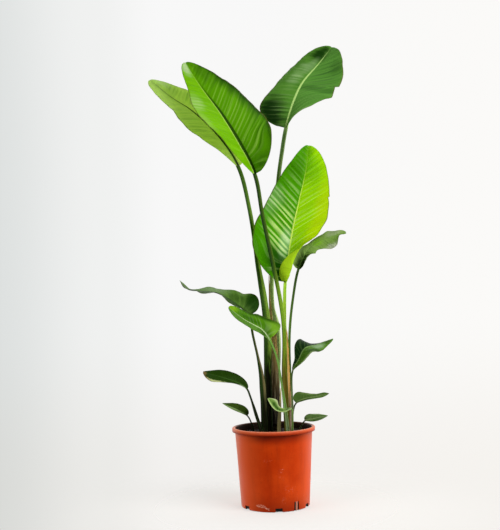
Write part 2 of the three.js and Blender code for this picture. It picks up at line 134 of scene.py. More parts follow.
class Recipe:
    """The nodes of one material or world. Three numbers given as a colour are screen values."""

    def __init__(self, owner):
        owner.use_nodes = True
        self.owner, self.tree = owner, owner.node_tree
        self.tree.nodes.clear()

    def add(self, kind, inputs, **settings):
        made = self.tree.nodes.new(kind)
        for key, value in settings.items():
            setattr(made, key, value)
        for key, value in inputs.items():
            if isinstance(value, Flow):
                self.tree.links.new(value.socket, made.inputs[key])
            else:
                tone = isinstance(value, tuple) and len(value) == 3
                made.inputs[key].default_value = srgb(*value) if tone else value
        return made

    def node(self, kind, inputs, output=0, **settings):
        return Flow(self, self.add(kind, inputs, **settings).outputs[output])

    def attribute(self, name):
        """The three numbers that each point of the mesh holds under this name."""
        return self.node("ShaderNodeAttribute", {}, "Vector", attribute_name=name).split()

    def place(self):
        return self.node("ShaderNodeTexCoord", {}, "Object")

    def join(self, x, y, z):
        return self.node("ShaderNodeCombineXYZ", {0: x, 1: y, 2: z})

    def mix(self, share, a, b, how="MIX"):
        settings = {"data_type": "RGBA", "blend_type": how}
        return self.node("ShaderNodeMix", {0: share, 6: a, 7: b}, 2, **settings)

    def coats(self, colour, *coats):
        """A colour with coats of (share, tone) laid over it one after another."""
        for share, tone in coats:
            colour = self.mix(share, colour, tone)
        return colour

    def noise(self, vector, scale, detail, roughness):
        inputs = {"Vector": vector, "Scale": scale, "Detail": detail, "Roughness": roughness}
        return self.node("ShaderNodeTexNoise", inputs, "Fac")

    def bump(self, height, depth, strength):
        """The directions of a surface with bumps up to depth metres high."""
        inputs = {"Height": height, "Distance": depth, "Strength": strength}
        return self.node("ShaderNodeBump", inputs)

    def skin(self, colour, rough, normal, shine, tint=(1, 1, 1, 1)):
        """A Principled surface; shine is how much it mirrors, and tint the colour of that."""
        inputs = {"Base Color": colour, "Roughness": rough, "Normal": normal,
                  "Specular IOR Level": shine, "Specular Tint": tint}
        return self.node("ShaderNodeBsdfPrincipled", inputs)

    def mix_shaders(self, share, a, b):
        return self.node("ShaderNodeMixShader", {0: share, 1: a, 2: b})

    def finish(self, shader, kind="Material"):
        self.add(f"ShaderNodeOutput{kind}", {0: shader})
        return self.owner


print("tones are given as screen values; pot orange is", [round(x, 3) for x in srgb(200, 70, 28)])

# %% [markdown]
# ## The floor
# The plant stands on a pale studio floor. The floor fades into the room within a metre, so no horizon
# shows behind the plant.

# %% Floor
FLOOR_HALF = 3.0
FLOOR_SINKS = 0.0005
FLOOR_FADES = (0.1, 0.7)
FLOOR_CLEAR = (0.55, 1.0)
FLOOR_COLOUR = (240, 238, 234)


def floor_material():
    """Matt floor under the pot, which lets more and more of the pale room through further out."""
    recipe = Recipe(bpy.data.materials.new("pale floor"))
    x, y, _ = recipe.place().split()
    away = (x * x + y * y).math("SQRT")
    matt = recipe.node("ShaderNodeBsdfDiffuse", {"Color": FLOOR_COLOUR})
    clear = recipe.node("ShaderNodeBsdfTransparent", {})
    return recipe.finish(recipe.mix_shaders(away.step(*FLOOR_FADES, *FLOOR_CLEAR), matt, clear))


floor_mesh = bpy.data.meshes.new("floor")
corners = [(-1, -1), (1, -1), (1, 1), (-1, 1)]
floor_mesh.from_pydata([(x * FLOOR_HALF, y * FLOOR_HALF, -FLOOR_SINKS) for x, y in corners], [],
                       [(0, 1, 2, 3)])
floor_mesh.materials.append(floor_material())
floor = bpy.data.objects.new("floor", floor_mesh)
bpy.context.scene.collection.objects.link(floor)
print("floor", FLOOR_HALF * 2, "m across")

# %% [markdown]
# ## Room and lamps
# The light is soft. A large lamp at the front right and a small one at the left brighten the flanks
# of the pot, and a white room all round fills the rest. The camera sees its own picture of that room.

# %% Room and lamps
ROOM_COLOUR = (1, 0.995, 0.985, 1)
ROOM_TURNS = (-0.2, 0.7)
ROOM_FRONT = 0.22
ROOM_BACK = 1.2
WALL_TONES = [(-0.3, (221, 224, 223)), (-0.17, (240, 241, 240)), (-0.09, (248, 248, 248)),
              (0.3, (251, 250, 248))]
LOW_TURNS = (0.0, -0.2)
LOW_SHADE = (0.95, 0.935, 0.915, 1)
LAMPS = {
    "front right lamp": {"place": (2.1, -1.8, 1.7), "size": 2.4, "watts": 110},
    "left lamp": {"place": (-1.9, -1.1, 1.6), "size": 1.6, "watts": 24},
}
LAMP_AIM = (0.0, 0.0, 0.75)


def room():
    """Light from all round, most of it off the white backdrop behind the plant.

    The camera itself sees that backdrop as a pale wall, brighter to the right and dimmer low down.
    """
    recipe = Recipe(bpy.data.worlds.new("studio"))
    x, y, z = recipe.node("ShaderNodeTexCoord", {}, "Generated").split()
    strength = y.step(*ROOM_TURNS, ROOM_FRONT, ROOM_BACK)
    lit = recipe.node("ShaderNodeBackground", {"Color": ROOM_COLOUR, "Strength": strength})
    low, high = WALL_TONES[0][0], WALL_TONES[-1][0]
    wall = recipe.add("ShaderNodeValToRGB", {0: (x - low) / (high - low)})
    wall.color_ramp.interpolation = "EASE"
    for _ in WALL_TONES[2:]:
        wall.color_ramp.elements.new(0.5)
    for element, (where, tone) in zip(wall.color_ramp.elements, WALL_TONES):
        element.position = (where - low) / (high - low)
        element.color = srgb(*tone)
    shaded = recipe.mix(z.step(*LOW_TURNS), Flow(recipe, wall.outputs[0]), LOW_SHADE, "MULTIPLY")
    seen = recipe.node("ShaderNodeBackground", {"Color": shaded})
    from_camera = recipe.node("ShaderNodeLightPath", {}, "Is Camera Ray")
    return recipe.finish(recipe.mix_shaders(from_camera, lit, seen), "World")


def lamp(name, place, size, watts):
    """A square soft box at place, facing the middle of the plant."""
    light = bpy.data.lights.new(name, "AREA")
    light.size = size
    light.energy = watts
    made = bpy.data.objects.new(name, light)
    towards = Vector(LAMP_AIM) - Vector(place)
    made.rotation_euler = towards.to_track_quat("-Z", "Y").to_euler()
    made.location = place
    bpy.context.scene.collection.objects.link(made)


bpy.context.scene.world = room()
for name, settings in LAMPS.items():
    lamp(name, **settings)
bpy.context.scene.view_settings.view_transform = "Standard"
print(len(LAMPS), "lamps and a room of strength", ROOM_FRONT, "in front and", ROOM_BACK, "behind")

# %% [markdown]
# ## Surfaces from arrays
# Every piece is a surface over a grid of two parameters. The points are computed as whole arrays, and
# these helpers number the faces of such grids and hand them to Blender in one go.

# %% Grids to meshes
def grid_faces(rows, columns, first=0, flipped=False, closed=False):
    """Quads between neighbouring rows and columns; closed joins the last column to the first."""
    row = np.arange(rows - 1)[:, None]
    column = np.arange(columns if closed else columns - 1)[None, :]
    a = first + row * columns + column
    b = first + row * columns + (column + 1) % columns
    quads = np.stack([a, b, b + columns, a + columns], -1).reshape(-1, 4)
    return quads[:, ::-1] if flipped else quads


def fan_faces(ring, middle, flipped=False):
    """Triangles from each side of a ring of points to one middle point."""
    triangles = np.stack([ring, np.roll(ring, -1), np.full(len(ring), middle)], -1)
    return triangles[:, ::-1] if flipped else triangles


def tube_faces(rings, sides):
    """A closed tube: rings of quads and a fan at each end, round the last two points."""
    ends = rings * sides
    first = np.arange(sides)
    return [grid_faces(rings, sides, closed=True), fan_faces(first, ends, flipped=True),
            fan_faces(first + ends - sides, ends + 1)]


def sheet_solid(middle, normal, thick):
    """Upper and lower points half the thickness off a grid of middles, and faces all round."""
    rows, columns = middle.shape[:2]
    half = normal * thick[..., None] / 2
    points = np.concatenate([(middle + half).reshape(-1, 3), (middle - half).reshape(-1, 3)])
    under = rows * columns
    number = np.arange(under).reshape(rows, columns)
    rim = np.concatenate([number[0], number[1:, -1], number[-1, -2::-1], number[-2:0:-1, 0]])
    onward = np.roll(rim, -1)
    wall = np.stack([onward, rim, under + rim, under + onward], -1)
    return points, [grid_faces(rows, columns), grid_faces(rows, columns, under, flipped=True), wall]


def mesh_from(name, points, faces, smooth=True, **attributes):
    """A mesh from (n, 3) points in mm, arrays of faces with 3 or 4 corners, and point values."""
    mesh = bpy.data.meshes.new(name)
    corners = np.concatenate([f.ravel() for f in faces]).astype(np.int32)
    sizes = np.concatenate([np.full(len(f), f.shape[1]) for f in faces])
    starts = (np.cumsum(sizes) - sizes).astype(np.int32)
    mesh.vertices.add(len(points))
    mesh.vertices.foreach_set("co", np.asarray(points * MM, np.float32).ravel())
    mesh.loops.add(len(corners))
    mesh.loops.foreach_set("vertex_index", corners)
    mesh.polygons.add(len(sizes))
    mesh.polygons.foreach_set("loop_start", starts)
    mesh.polygons.foreach_set("use_smooth", np.full(len(sizes), smooth))
    mesh.update(calc_edges=True)
    for key, values in attributes.items():
        layer = mesh.attributes.new(key, "FLOAT_VECTOR", "POINT")
        layer.data.foreach_set("vector", np.asarray(values, np.float32).ravel())
    return mesh


def point_values(*parts):
    """Three values for each point of a grid, as (n, 3)."""
    return np.stack(np.broadcast_arrays(*parts), -1).reshape(-1, 3)


def place_piece(name, mesh, material, node):
    """Puts a finished mesh into the scene, in the place of a CAD node."""
    mesh.materials.append(material)
    made = bpy.data.objects.new(name, mesh)
    bpy.context.scene.collection.objects.link(made)
    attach(made, "root")
    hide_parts(node)
    return made


def unit(vectors):
    return vectors / np.linalg.norm(vectors, axis=-1, keepdims=True)


def normals(grid):
    """The directions square to a grid of points."""
    return unit(np.cross(np.gradient(grid, axis=1), np.gradient(grid, axis=0)))


def angles(sides):
    """Evenly spaced angles round a ring, as one row."""
    return np.linspace(0, 2 * np.pi, sides, endpoint=False)[None, :]


def turned(x, y, angle):
    """Two coordinates turned by an angle."""
    return x * np.cos(angle) - y * np.sin(angle), x * np.sin(angle) + y * np.cos(angle)


def ease(x):
    """0 below 0, 1 above 1, and 3x^2 - 2x^3 between."""
    x = np.clip(x, 0, 1)
    return x * x * (3 - 2 * x)


def between(pair, share):
    """From the first of a pair at share 0 straight to the second at share 1."""
    return pair[0] + (pair[1] - pair[0]) * share


def wander(x, seed, waves=6, slowest=1.0):
    """A sum of sines of rising pace with random phases: an even, seeded wobble of about -1 to 1."""
    chance = np.random.default_rng(seed)
    paces = slowest * (1 + np.arange(waves) * chance.uniform(0.7, 1.3, waves))
    phases = chance.uniform(0, 2 * np.pi, waves)
    heights = 1 / np.sqrt(1 + np.arange(waves))
    total = sum(h * np.sin(2 * np.pi * p * x + q) for h, p, q in zip(heights, paces, phases))
    return total / heights.sum() * 1.6


print("a 3 by 4 grid has", len(grid_faces(3, 4)), "faces")

# %% [markdown]
# ## The line that a leaf grows along
# A leaf of this plant is one long piece: a stalk that clasps its neighbours at the foot, and a blade
# on both sides of the same line. So each leaf has one smooth curve, from the soil to the tip. At any
# length on it there is a direction, a right-hand side and an upper side.

# %% Growth lines
ROOTED = 50


class GrowthLine:
    """A smooth curve through points in mm, with the way that its upper side faces."""

    SAMPLES = 60

    def __init__(self, points, joint, upper):
        self.places = self.curve(np.array(points, float))
        spans = np.linalg.norm(np.diff(self.places, axis=0), axis=1)
        self.lengths = np.concatenate([[0], np.cumsum(spans)])
        self.base = self.lengths[joint * self.SAMPLES]
        self.total = self.lengths[-1]
        self.long = self.total - self.base
        self.ways = unit(np.gradient(self.places, self.lengths, axis=0))
        self.upper = np.array(upper, float)
        self.knots = [0, self.base, (self.base + self.total) / 2, self.total]

    def curve(self, points):
        """Cubic spans whose tangents depend on the square roots of the gaps between points."""
        ends = [2 * points[0] - points[1]], points, [2 * points[-1] - points[-2]]
        held = np.concatenate(ends)
        gaps = np.sqrt(np.linalg.norm(np.diff(held, axis=0), axis=1))[:, None]
        slopes = np.diff(held, axis=0) / gaps
        wide = (held[2:] - held[:-2]) / (gaps[1:] + gaps[:-1])
        tangents = slopes[:-1] - wide + slopes[1:]
        t = np.linspace(0, 1, self.SAMPLES, endpoint=False)[None, :, None]
        p, q = points[:-1, None], points[1:, None]
        gap = gaps[1:-1, None]
        start, end = tangents[:-1, None] * gap, tangents[1:, None] * gap
        spans = (p + start * t + (3 * (q - p) - 2 * start - end) * t**2
                 + (2 * (p - q) + start + end) * t**3)
        return np.concatenate([spans.reshape(-1, 3), points[-1:]])

    def at(self, length):
        """Place, right side and upper side at each of these lengths."""
        def read(x, y):
            return np.stack([np.interp(length, x, y[:, i]) for i in range(3)], -1)
        forward = unit(read(self.lengths, self.ways))
        face = read(self.knots, self.upper)
        up = unit(face - np.sum(face * forward, -1, keepdims=True) * forward)
        return read(self.lengths, self.places), np.cross(forward, up), up


def growth_line(stalk, rib, upper):
    """The curve starts below the soil, under the first point of the stalk."""
    foot = np.array(stalk[0]) - [0, 0, ROOTED]
    return GrowthLine([foot, *stalk, *rib], len(stalk), upper)


def along(values, share):
    """A smooth curve through evenly spaced values, read at shares from 0 to 1."""
    held = np.array([2 * values[0] - values[1], *values, 2 * values[-1] - values[-2]], float)
    x = np.clip(share, 0, 1) * (len(values) - 1)
    i = np.clip(np.floor(x).astype(int), 0, len(values) - 2)
    t = x - i
    a, b, c, d = held[i], held[i + 1], held[i + 2], held[i + 3]
    return b + 0.5 * t * (c - a + t * (2 * a - 5 * b + 4 * c - d + t * (3 * (b - c) + d - a)))


print("halfway between 1 and 3 the curve reads", float(along([1, 3, 3], np.array(0.25))))

# %% [markdown]
# ## The leaves, one by one
# These are the same leaves as in the CAD source, in millimetres. `girth` is the radius at the foot
# and at the blade, the length of the swollen sheath and the share of it that stays even, a half if
# none is given. `fine` is the number of rows and of columns of each half. Each half of a blade has
# its half `wide` at even steps from base to tip, its `fold` up from flat and its further `curl`, in
# degrees. Some have their own `sweep` of the margin and `rise` of the veins towards the tip, height
# and number of margin waves, `ragged` margin or `tear`.
#
# `tones` are the colours of the left half, the right half, the midrib and the underside. On many
# leaves the two halves' tones hold painted light and shade, so one half is lighter than the other,
# and the top left back leaf is painted pale as if lit, though it stands in the shade of the leaf in
# front. On the two top left leaves the dark midrib tone is painted shade in its channel. `stems`
# are those of the stalk at the foot, in the middle and under the blade. `stripes` (painted
# highlights along the pleats), `spots` and `finish` go to the blade's
# material and `bark` to the stalk's, where they are explained. `pleats` are the distance between
# two pleats and their height.

# %% Leaf table
USUAL_LEAF = {"slot": "leaf_dark_green", "stripes": (0.15, 0.15, 0.4), "pleats": (8, 0.25),
              "bark": {}, "finish": {}}
USUAL_HALF = {"sweep": 0.1, "rise": 0.45, "wave": (0, 1), "ragged": 0.015, "tear": (0, 1, 0)}
LEAVES = [
    {"name": "leaf_top_left_back", "girth": (11.5, 6.2, 600), "fine": (220, 20),
     "slot": "leaf_mid_green",
     "stalk": ((-13, 8, 206), (-12, 14, 342), (-11, 22, 532), (-33, 30, 705), (-54, 36, 870),
               (-83, 42, 993)),
     "rib": ((-142, 52, 1090), (-220, 62, 1171), (-284, 72, 1218), (-348, 80, 1275)),
     "upper": ((0.2, -1, 0), (0.2, -1, 0.3), (0.3, -1, 0.8), (0.3, -1, 1.2)),
     "left": {"wide": (35, 60, 86, 98, 80, 66, 60, 59, 66), "fold": (35, 25, 20),
              "curl": (-15, -20, -20), "ragged": 0.03},
     "right": {"wide": (75, 82, 75, 65, 45), "fold": (35, 20, 15), "curl": (-15, -20, -20)},
     # Painted light: pale tones, as if lit, for a leaf in the shade of the one in front.
     "tones": ((240, 255, 184), (240, 255, 168), (50, 86, 18), (150, 186, 90)),
     "stems": ((10, 11, 5), (44, 80, 12), (40, 80, 8)), "stripes": (0.35, 0.45, 0.35),
     "pleats": (14, 0.35), "bark": {"flank": (150, 190, 70), "ends": (0.22, 0.36)},
     "finish": {"through": 0.8, "beside": (220, 242, 150), "lines": (226, 244, 160),
                "band": (0.0025, 0.005, 0.9), "mottle": 0.3, "warm": 0.75, "fade": (0.45, 0.85)},
     "spots": [(0.9, 0.2, 0.3, 0.9, (216, 236, 176), 0.6), (0.3, 1.0, 0.3, 0.3, (110, 160, 40), 0.5),
               (0.4, -0.55, 0.34, 0.55, (128, 186, 104), 0.4, 0.1, 1.0),
               (0.9, 0.7, 0.12, 0.45, (244, 255, 236), 0.8),
               (0.68, 0.55, 0.24, 0.5, (112, 172, 72), 0.55, 0.25, 1.0)]},
    {"name": "leaf_top_left_front", "girth": (8.5, 6, 300), "fine": (220, 22),
     "slot": "leaf_mid_green",
     "stalk": ((38, -44, 206), (35, -48, 361), (35, -58, 531), (10, -64, 694), (-16, -62, 834),
               (-34, -45, 953)),
     "rib": ((-77, -28, 1050), (-129, -5, 1145), (-188, 18, 1233), (-235, 34, 1313)),
     "upper": ((0, -1, 0), (0.4, -1, 0.3), (0.45, -1, 0.5), (0.4, -1, 0.8)),
     "left": {"wide": (130, 94, 110, 72, 70), "fold": (50, 30, 25), "curl": (-15, -20, -20),
              "sweep": 0.04, "rise": 0.4},
     "right": {"wide": (134, 128, 114, 80, 46), "fold": (65, 15, 35), "curl": (-20, -25, -25),
               "sweep": 0.09, "rise": 0.8},
     "tones": ((128, 198, 4), (96, 164, 4), (34, 70, 6), (112, 154, 50)),
     "stems": ((92, 84, 22), (104, 144, 20), (16, 50, 2)), "stripes": (0.1, 0.4, 0.45),
     "pleats": (15, 0.7),
     "bark": {"flank": (150, 190, 60), "ends": (0.22, 0.42), "above": (0.46, 0.66)},
     "finish": {"through": 0.28, "beside": (200, 232, 110), "lines": (200, 230, 120),
                "band": (0.0055, 0.0085, 0.95), "fade": (0.5, 0.9)},
     "spots": [(0.6, -0.85, 0.13, 0.4, (206, 236, 150), 0.65, 0.45, 1.0),
               (0.55, 1.0, 0.7, 0.16, (26, 56, 6), 0.95),
               (0.42, -0.95, 0.14, 0.3, (170, 210, 100), 0.5),
               (0.96, -0.5, 0.12, 0.6, (206, 232, 170), 0.9),
               (0.6, 1.0, 0.55, 0.45, (38, 84, 12), 0.75), (0.85, 0.6, 0.2, 0.5, (56, 104, 14), 0.5),
               (0.14, 0.7, 0.34, 0.45, (44, 92, 6), 0.8, 0.9, 0.3)]},
    {"name": "leaf_top_right", "girth": (15.5, 6.2, 370, 0.82), "fine": (220, 22),
     "stalk": ((5, 36, 206), (8, 39, 340), (14, 44, 470), (7, 50, 621), (35, 66, 945),
               (51, 72, 1046), (64, 76, 1112)),
     "rib": ((89, 95, 1194), (120, 120, 1262), (178, 155, 1334), (223, 175, 1392)),
     "upper": ((0, -1, 0), (-0.1, -1, 0.2), (0, -1, 0.5), (0.2, -1, 0.8)),
     "left": {"wide": (194, 101, 74, 66, 55), "fold": (15, 12, 10, 15, 25),
              "curl": (-15, -30, -45, -45, -30), "sweep": 0.09, "rise": -0.2},
     "right": {"wide": (42, 102, 104, 87, 77), "fold": (75, 0, 35), "curl": (-20, -15, -10),
               "sweep": 0.15, "rise": 1.1, "wave": (4, 4.5), "ragged": 0.025,
               "tear": (0.5, 0.1, 0.12)},
     "tones": ((82, 134, 44), (90, 144, 56), (172, 206, 120), (104, 142, 72)),
     "stems": ((22, 17, 9), (84, 112, 44), (44, 78, 26)), "stripes": (0.14, 0.2, 0.35),
     "pleats": (15, 0.6), "bark": {"flank": (176, 200, 130), "ends": (0.05, 0.22)},
     "finish": {"band": (0.002, 0.005, 0.85)},
     "spots": [(0.1, -0.6, 0.24, 0.7, (6, 34, 6), 0.95), (0.87, -0.4, 0.17, 0.75, (12, 48, 4), 0.95),
               (0.56, -0.42, 0.22, 0.4, (156, 190, 128), 0.62, 0.5, 1.0),
               (0.26, -0.35, 0.2, 0.45, (120, 160, 90), 0.4, 0.1, 1.0),
               (0.7, -0.25, 0.16, 0.3, (128, 162, 104), 0.6),
               (0.75, 0.75, 0.12, 0.3, (30, 66, 20), 0.6, 0.9, 0.3),
               (0.9, 0.6, 0.16, 0.6, (88, 144, 56), 0.5), (0.45, 0.5, 0.06, 0.9, (44, 92, 28), 0.5),
               (0.55, 0.5, 0.4, 0.6, (48, 88, 40), 0.6, 0.0, 1.0),
               (0.1, 0.95, 0.1, 0.3, (152, 182, 112), 0.6)]},
    {"name": "leaf_centre", "girth": (8.5, 4.8, 330), "fine": (220, 24), "slot": "leaf_bright_green",
     "stalk": ((44, -22, 206), (41, -22, 359), (40, -22, 503), (42, -20, 592), (45, -18, 639)),
     "rib": ((67, -6, 773), (95, 8, 886), (120, 26, 985), (129, 36, 1052)),
     "upper": ((0, -1, 0), (0, -1, 0.2), (0, -1, 0.3), (0, -1, 0.5)),
     "left": {"wide": (158, 130, 93, 73, 52), "fold": (35, 5, 30), "curl": (-15, -20, -20),
              "sweep": 0.05, "rise": 0.75},
     "right": {"wide": (160, 78, 94, 86, 76), "fold": (30, 12, 0, 5, 10),
               "curl": (200, 172, 85, 0, -10, -15, -20, -20, -15), "sweep": 0.02, "rise": 1.0,
               "tear": (0.64, 0.12, 0.06)},
     "tones": ((86, 170, 0), (168, 222, 0), (200, 228, 96), (184, 222, 34)),
     "stems": ((116, 104, 30), (138, 162, 30), (158, 204, 50)), "stripes": (0.85, 0.45, 0.5),
     "pleats": (17, 1.0),
     "finish": {"through": 0.36, "lines": (222, 242, 170), "band": (0.0008, 0.003, 0.5),
                "gloss": 0.55},
     "spots": [(0.1, -0.42, 0.2, 0.4, (36, 96, 0), 0.95), (0.9, 0.0, 0.2, 0.5, (104, 178, 6), 0.6),
               (0.85, -0.4, 0.22, 0.7, (74, 142, 6), 0.6),
               (0.53, -0.85, 0.13, 0.45, (214, 238, 186), 0.8, 0.3, 1.0),
               (0.38, -0.3, 0.22, 0.5, (206, 236, 140), 0.85, 0.0, 1.0),
               (0.26, -0.14, 0.14, 0.22, (222, 244, 206), 0.95, 0.35, 1.0),
               (0.45, 0.9, 0.45, 0.5, (200, 226, 0), 0.85),
               (0.86, 0.3, 0.2, 0.6, (116, 192, 6), 0.5)]},
    {"name": "leaf_right_rolled", "girth": (7.5, 3.8, 260), "fine": (150, 16),
     "stalk": ((46, -3, 206), (50, 0, 385), (56, 8, 507), (68, 18, 593), (87, 30, 679)),
     "rib": ((114, 45, 733), (149, 58, 762), (191, 70, 778), (238, 78, 790)),
     "upper": ((-0.3, -1, 0), (0.2, -1, 0.3), (0.5, -0.8, 0.3), (0.3, -0.8, 0.4)),
     "left": {"wide": (100, 64, 36, 20, 22), "fold": (20, 35, 40, 25, 10),
              "curl": (30, 60, 70, 40, 20), "sweep": 0.05, "wave": (2, 4)},
     "right": {"wide": (50, 48, 36, 22, 26, 42, 40, 12, 22), "fold": (30, 40, 10, 20, 20),
               "curl": (60, 70, -20, 20, 20), "sweep": 0.05, "wave": (5, 2.5)},
     "tones": ((130, 162, 78), (130, 162, 78), (96, 128, 56), (92, 112, 60)),
     "stems": ((88, 66, 40), (74, 108, 34), (34, 60, 14)), "stripes": (0.3, 0.3, 0.4),
     "pleats": (11, 0.5),
     "spots": [(0.08, 0.2, 0.24, 1.1, (20, 38, 12), 0.9),
               (0.2, -0.75, 0.14, 0.4, (136, 168, 96), 0.9),
               (0.52, 0.0, 0.13, 0.6, (124, 176, 30), 0.85),
               (0.8, -0.6, 0.2, 0.8, (164, 180, 132), 0.9),
               (0.66, 1.0, 0.16, 0.55, (208, 210, 190), 0.95)]},
    {"name": "leaf_left_waved", "girth": (9.5, 3.8, 240), "fine": (150, 16),
     "stalk": ((-26, -16, 206), (-26, -14, 300), (-30, -11, 370), (-39, -10, 423), (-54, -12, 500),
               (-59, -14, 546)),
     "rib": ((-92, -24, 577), (-153, -36, 615), (-207, -45, 622), (-236, -51, 627), (-259, -56, 653)),
     "upper": ((0.6, -1, 0), (0.2, -0.5, 0.8), (0, -0.25, 1), (0, -0.15, 1)),
     "left": {"wide": (30, 46, 46, 37, 24), "fold": (20, 12, 8), "curl": (-10, -10, -10),
              "wave": (4, 3)},
     "right": {"wide": (144, 58, 44, 38, 26), "fold": (35, 30, 12, 8, 10), "curl": (-10, -10, -10),
               "sweep": -0.06, "wave": (3, 3.5)},
     "tones": ((54, 80, 32), (90, 126, 48), (46, 76, 28), (58, 78, 42)),
     "stems": ((14, 18, 7), (30, 54, 12), (38, 72, 14)), "stripes": (0.1, 0.15, 0.4),
     "pleats": (11, 0.4), "bark": {"flank": (140, 128, 88), "ends": (0.18, 0.42)},
     "spots": [(0.04, 0.7, 0.24, 0.9, (20, 60, 4), 0.95), (0.3, 0.35, 0.12, 0.5, (36, 66, 18), 0.5),
               (0.24, 1.0, 0.12, 0.35, (132, 158, 104), 0.4),
               (0.55, 0.5, 0.22, 0.9, (118, 146, 96), 0.75),
               (0.95, 0.0, 0.12, 1.2, (110, 130, 80), 0.5)]},
    {"name": "leaf_left_boat", "girth": (5, 3.0, 150), "fine": (150, 16), "slot": "leaf_mid_green",
     "stalk": ((40, -66, 206), (27, -78, 335), (14, -88, 422), (1, -95, 463), (-7, -97, 480)),
     "rib": ((-27, -104, 507), (-55, -112, 524), (-82, -120, 541), (-119, -129, 572)),
     "upper": ((0.3, -1, 0), (0.3, -0.7, 0.6), (0.3, -0.6, 0.8), (0.2, -0.6, 0.9)),
     "left": {"wide": (18, 26, 22, 24, 20), "fold": (12, 12, 12), "curl": (-20, -20, -20)},
     "right": {"wide": (116, 54, 48, 48, 52), "fold": (30, 5, 0), "curl": (-10, -10, -10),
               "sweep": -0.08},
     "tones": ((94, 142, 46), (86, 142, 14), (200, 220, 166), (110, 142, 76)),
     "stems": ((104, 124, 84), (98, 140, 60), (94, 148, 42)), "stripes": (0.2, 0.3, 0.4),
     "pleats": (12, 0.4), "finish": {"through": 0.25},
     "spots": [(0.04, 0.8, 0.26, 0.7, (136, 188, 44), 0.85),
               (0.5, 0.3, 0.4, 0.3, (52, 104, 6), 0.75), (0.5, 0.95, 0.5, 0.3, (44, 84, 10), 0.85),
               (0.15, -0.3, 0.22, 0.7, (48, 90, 12), 0.7),
               (0.97, 0.4, 0.2, 0.9, (150, 196, 24), 0.8)]},
    {"name": "leaf_right_dark", "girth": (4, 2.4, 120), "fine": (150, 14),
     "stalk": ((52, -40, 206), (55, -35, 300), (59, -22, 384)),
     "rib": ((77, -22, 414), (97, -18, 448), (133, -4, 457), (182, 12, 473)),
     "upper": ((0, -1, 0), (-0.3, -1, 0.2), (-0.2, -0.8, 0.6), (0, -0.4, 1)),
     "left": {"wide": (10, 26, 66, 34, 12), "fold": (20, 14, -14, -30, -20), "curl": (-10, -10, -10)},
     "right": {"wide": (20, 42, 40, 22, 13), "fold": (50, 30, -20), "curl": (0, -10, -20)},
     "tones": ((20, 50, 18), (84, 128, 36), (148, 184, 108), (54, 82, 48)),
     "stems": ((128, 112, 96), (104, 124, 80), (48, 74, 32)), "stripes": (0.25, 0.2, 0.4),
     "pleats": (11, 0.4), "bark": {"ends": (0.1, 0.6)},
     "spots": [(0.66, 0.4, 0.16, 0.6, (156, 182, 146), 0.75),
               (0.45, 0.8, 0.16, 0.5, (34, 60, 26), 0.8), (0.2, 1.0, 0.3, 0.3, (176, 196, 136), 0.9),
               (0.15, -0.95, 0.2, 0.3, (84, 114, 76), 0.7),
               (0.88, 0.3, 0.12, 0.9, (60, 84, 40), 0.8)]},
    {"name": "leaf_low_left", "girth": (5, 3, 110), "fine": (130, 12),
     "stalk": ((-34, -28, 206), (-49, -27, 262), (-66, -26, 318), (-73, -28, 336)),
     "rib": ((-94, -32, 353), (-139, -44, 371), (-198, -54, 391)),
     "upper": ((0.5, -1, 0), (0.3, -0.7, 0.5), (0, -0.6, 0.8), (0, -0.5, 1)),
     "left": {"wide": (8, 10, 19, 34, 38), "fold": (10, 0, 0), "curl": (-20, -20, -10)},
     "right": {"wide": (26, 28, 27, 18, 8), "fold": (40, 25, 15), "curl": (-20, -20, -10)},
     "tones": ((36, 64, 8), (34, 62, 6), (54, 88, 28), (110, 130, 84)),
     "stems": ((14, 16, 9), (24, 30, 15), (38, 54, 24)),
     "spots": [(0.97, -0.2, 0.08, 1.2, (132, 104, 62), 0.9),
               (0.88, -1.0, 0.18, 0.35, (112, 74, 32), 0.9),
               (0.66, -0.85, 0.3, 0.22, (206, 210, 150), 0.9),
               (0.06, -0.9, 0.14, 0.8, (196, 208, 176), 0.9),
               (0.3, 0.95, 0.4, 0.2, (34, 52, 16), 0.8)]},
    {"name": "leaf_low_left_small", "girth": (3, 2.2, 20), "fine": (90, 10),
     "stalk": ((-58, 35, 206), (-66, 32, 237), (-75, 30, 253)),
     "rib": ((-102, 26, 272), (-148, 20, 292)),
     "upper": ((0.3, -1, 0), (0.3, -0.7, 0.5), (0, -0.7, 0.8), (0, -0.5, 1)),
     "left": {"wide": (8, 10, 12, 10, 6), "fold": (20, 20, 20), "curl": (-20, -20, -10)},
     "right": {"wide": (30, 20, 14, 9, 5), "fold": (40, 25, 15), "curl": (0, 0, 0)},
     "tones": ((140, 168, 104), (66, 92, 26), (70, 92, 40), (90, 106, 64)),
     "stems": ((14, 16, 9), (26, 32, 16), (36, 48, 22)),
     "spots": [(0.04, 0.0, 0.16, 1.4, (26, 38, 16), 0.95)]},
    {"name": "leaf_low_right", "girth": (3.5, 2.4, 40), "fine": (90, 12),
     "stalk": ((55, 25, 206), (60, 22, 267), (68, 20, 287)),
     "rib": ((95, 18, 299), (124, 14, 305), (165, 8, 314)),
     "upper": ((-0.3, -1, 0), (-0.3, -0.7, 0.6), (0, -0.6, 0.8), (0, -0.6, 1)),
     "left": {"wide": (60, 22, 13, 10, 6), "fold": (40, 15, 5), "curl": (0, -10, -10),
              "wave": (2, 1.5)},
     "right": {"wide": (14, 10, 10, 13, 7), "fold": (30, 20, 10), "curl": (-10, -20, -20)},
     "tones": ((84, 114, 52), (92, 122, 56), (150, 170, 108), (112, 134, 86)),
     "stems": ((16, 18, 10), (28, 36, 18), (40, 54, 26)), "stripes": (0.2, 0.2, 0.4),
     "spots": [(0.97, 0.0, 0.06, 1.3, (92, 82, 60), 0.8), (0.25, 0.5, 0.22, 0.4, (48, 76, 26), 0.8),
               (0.5, -0.9, 0.4, 0.3, (146, 164, 104), 0.6)]},
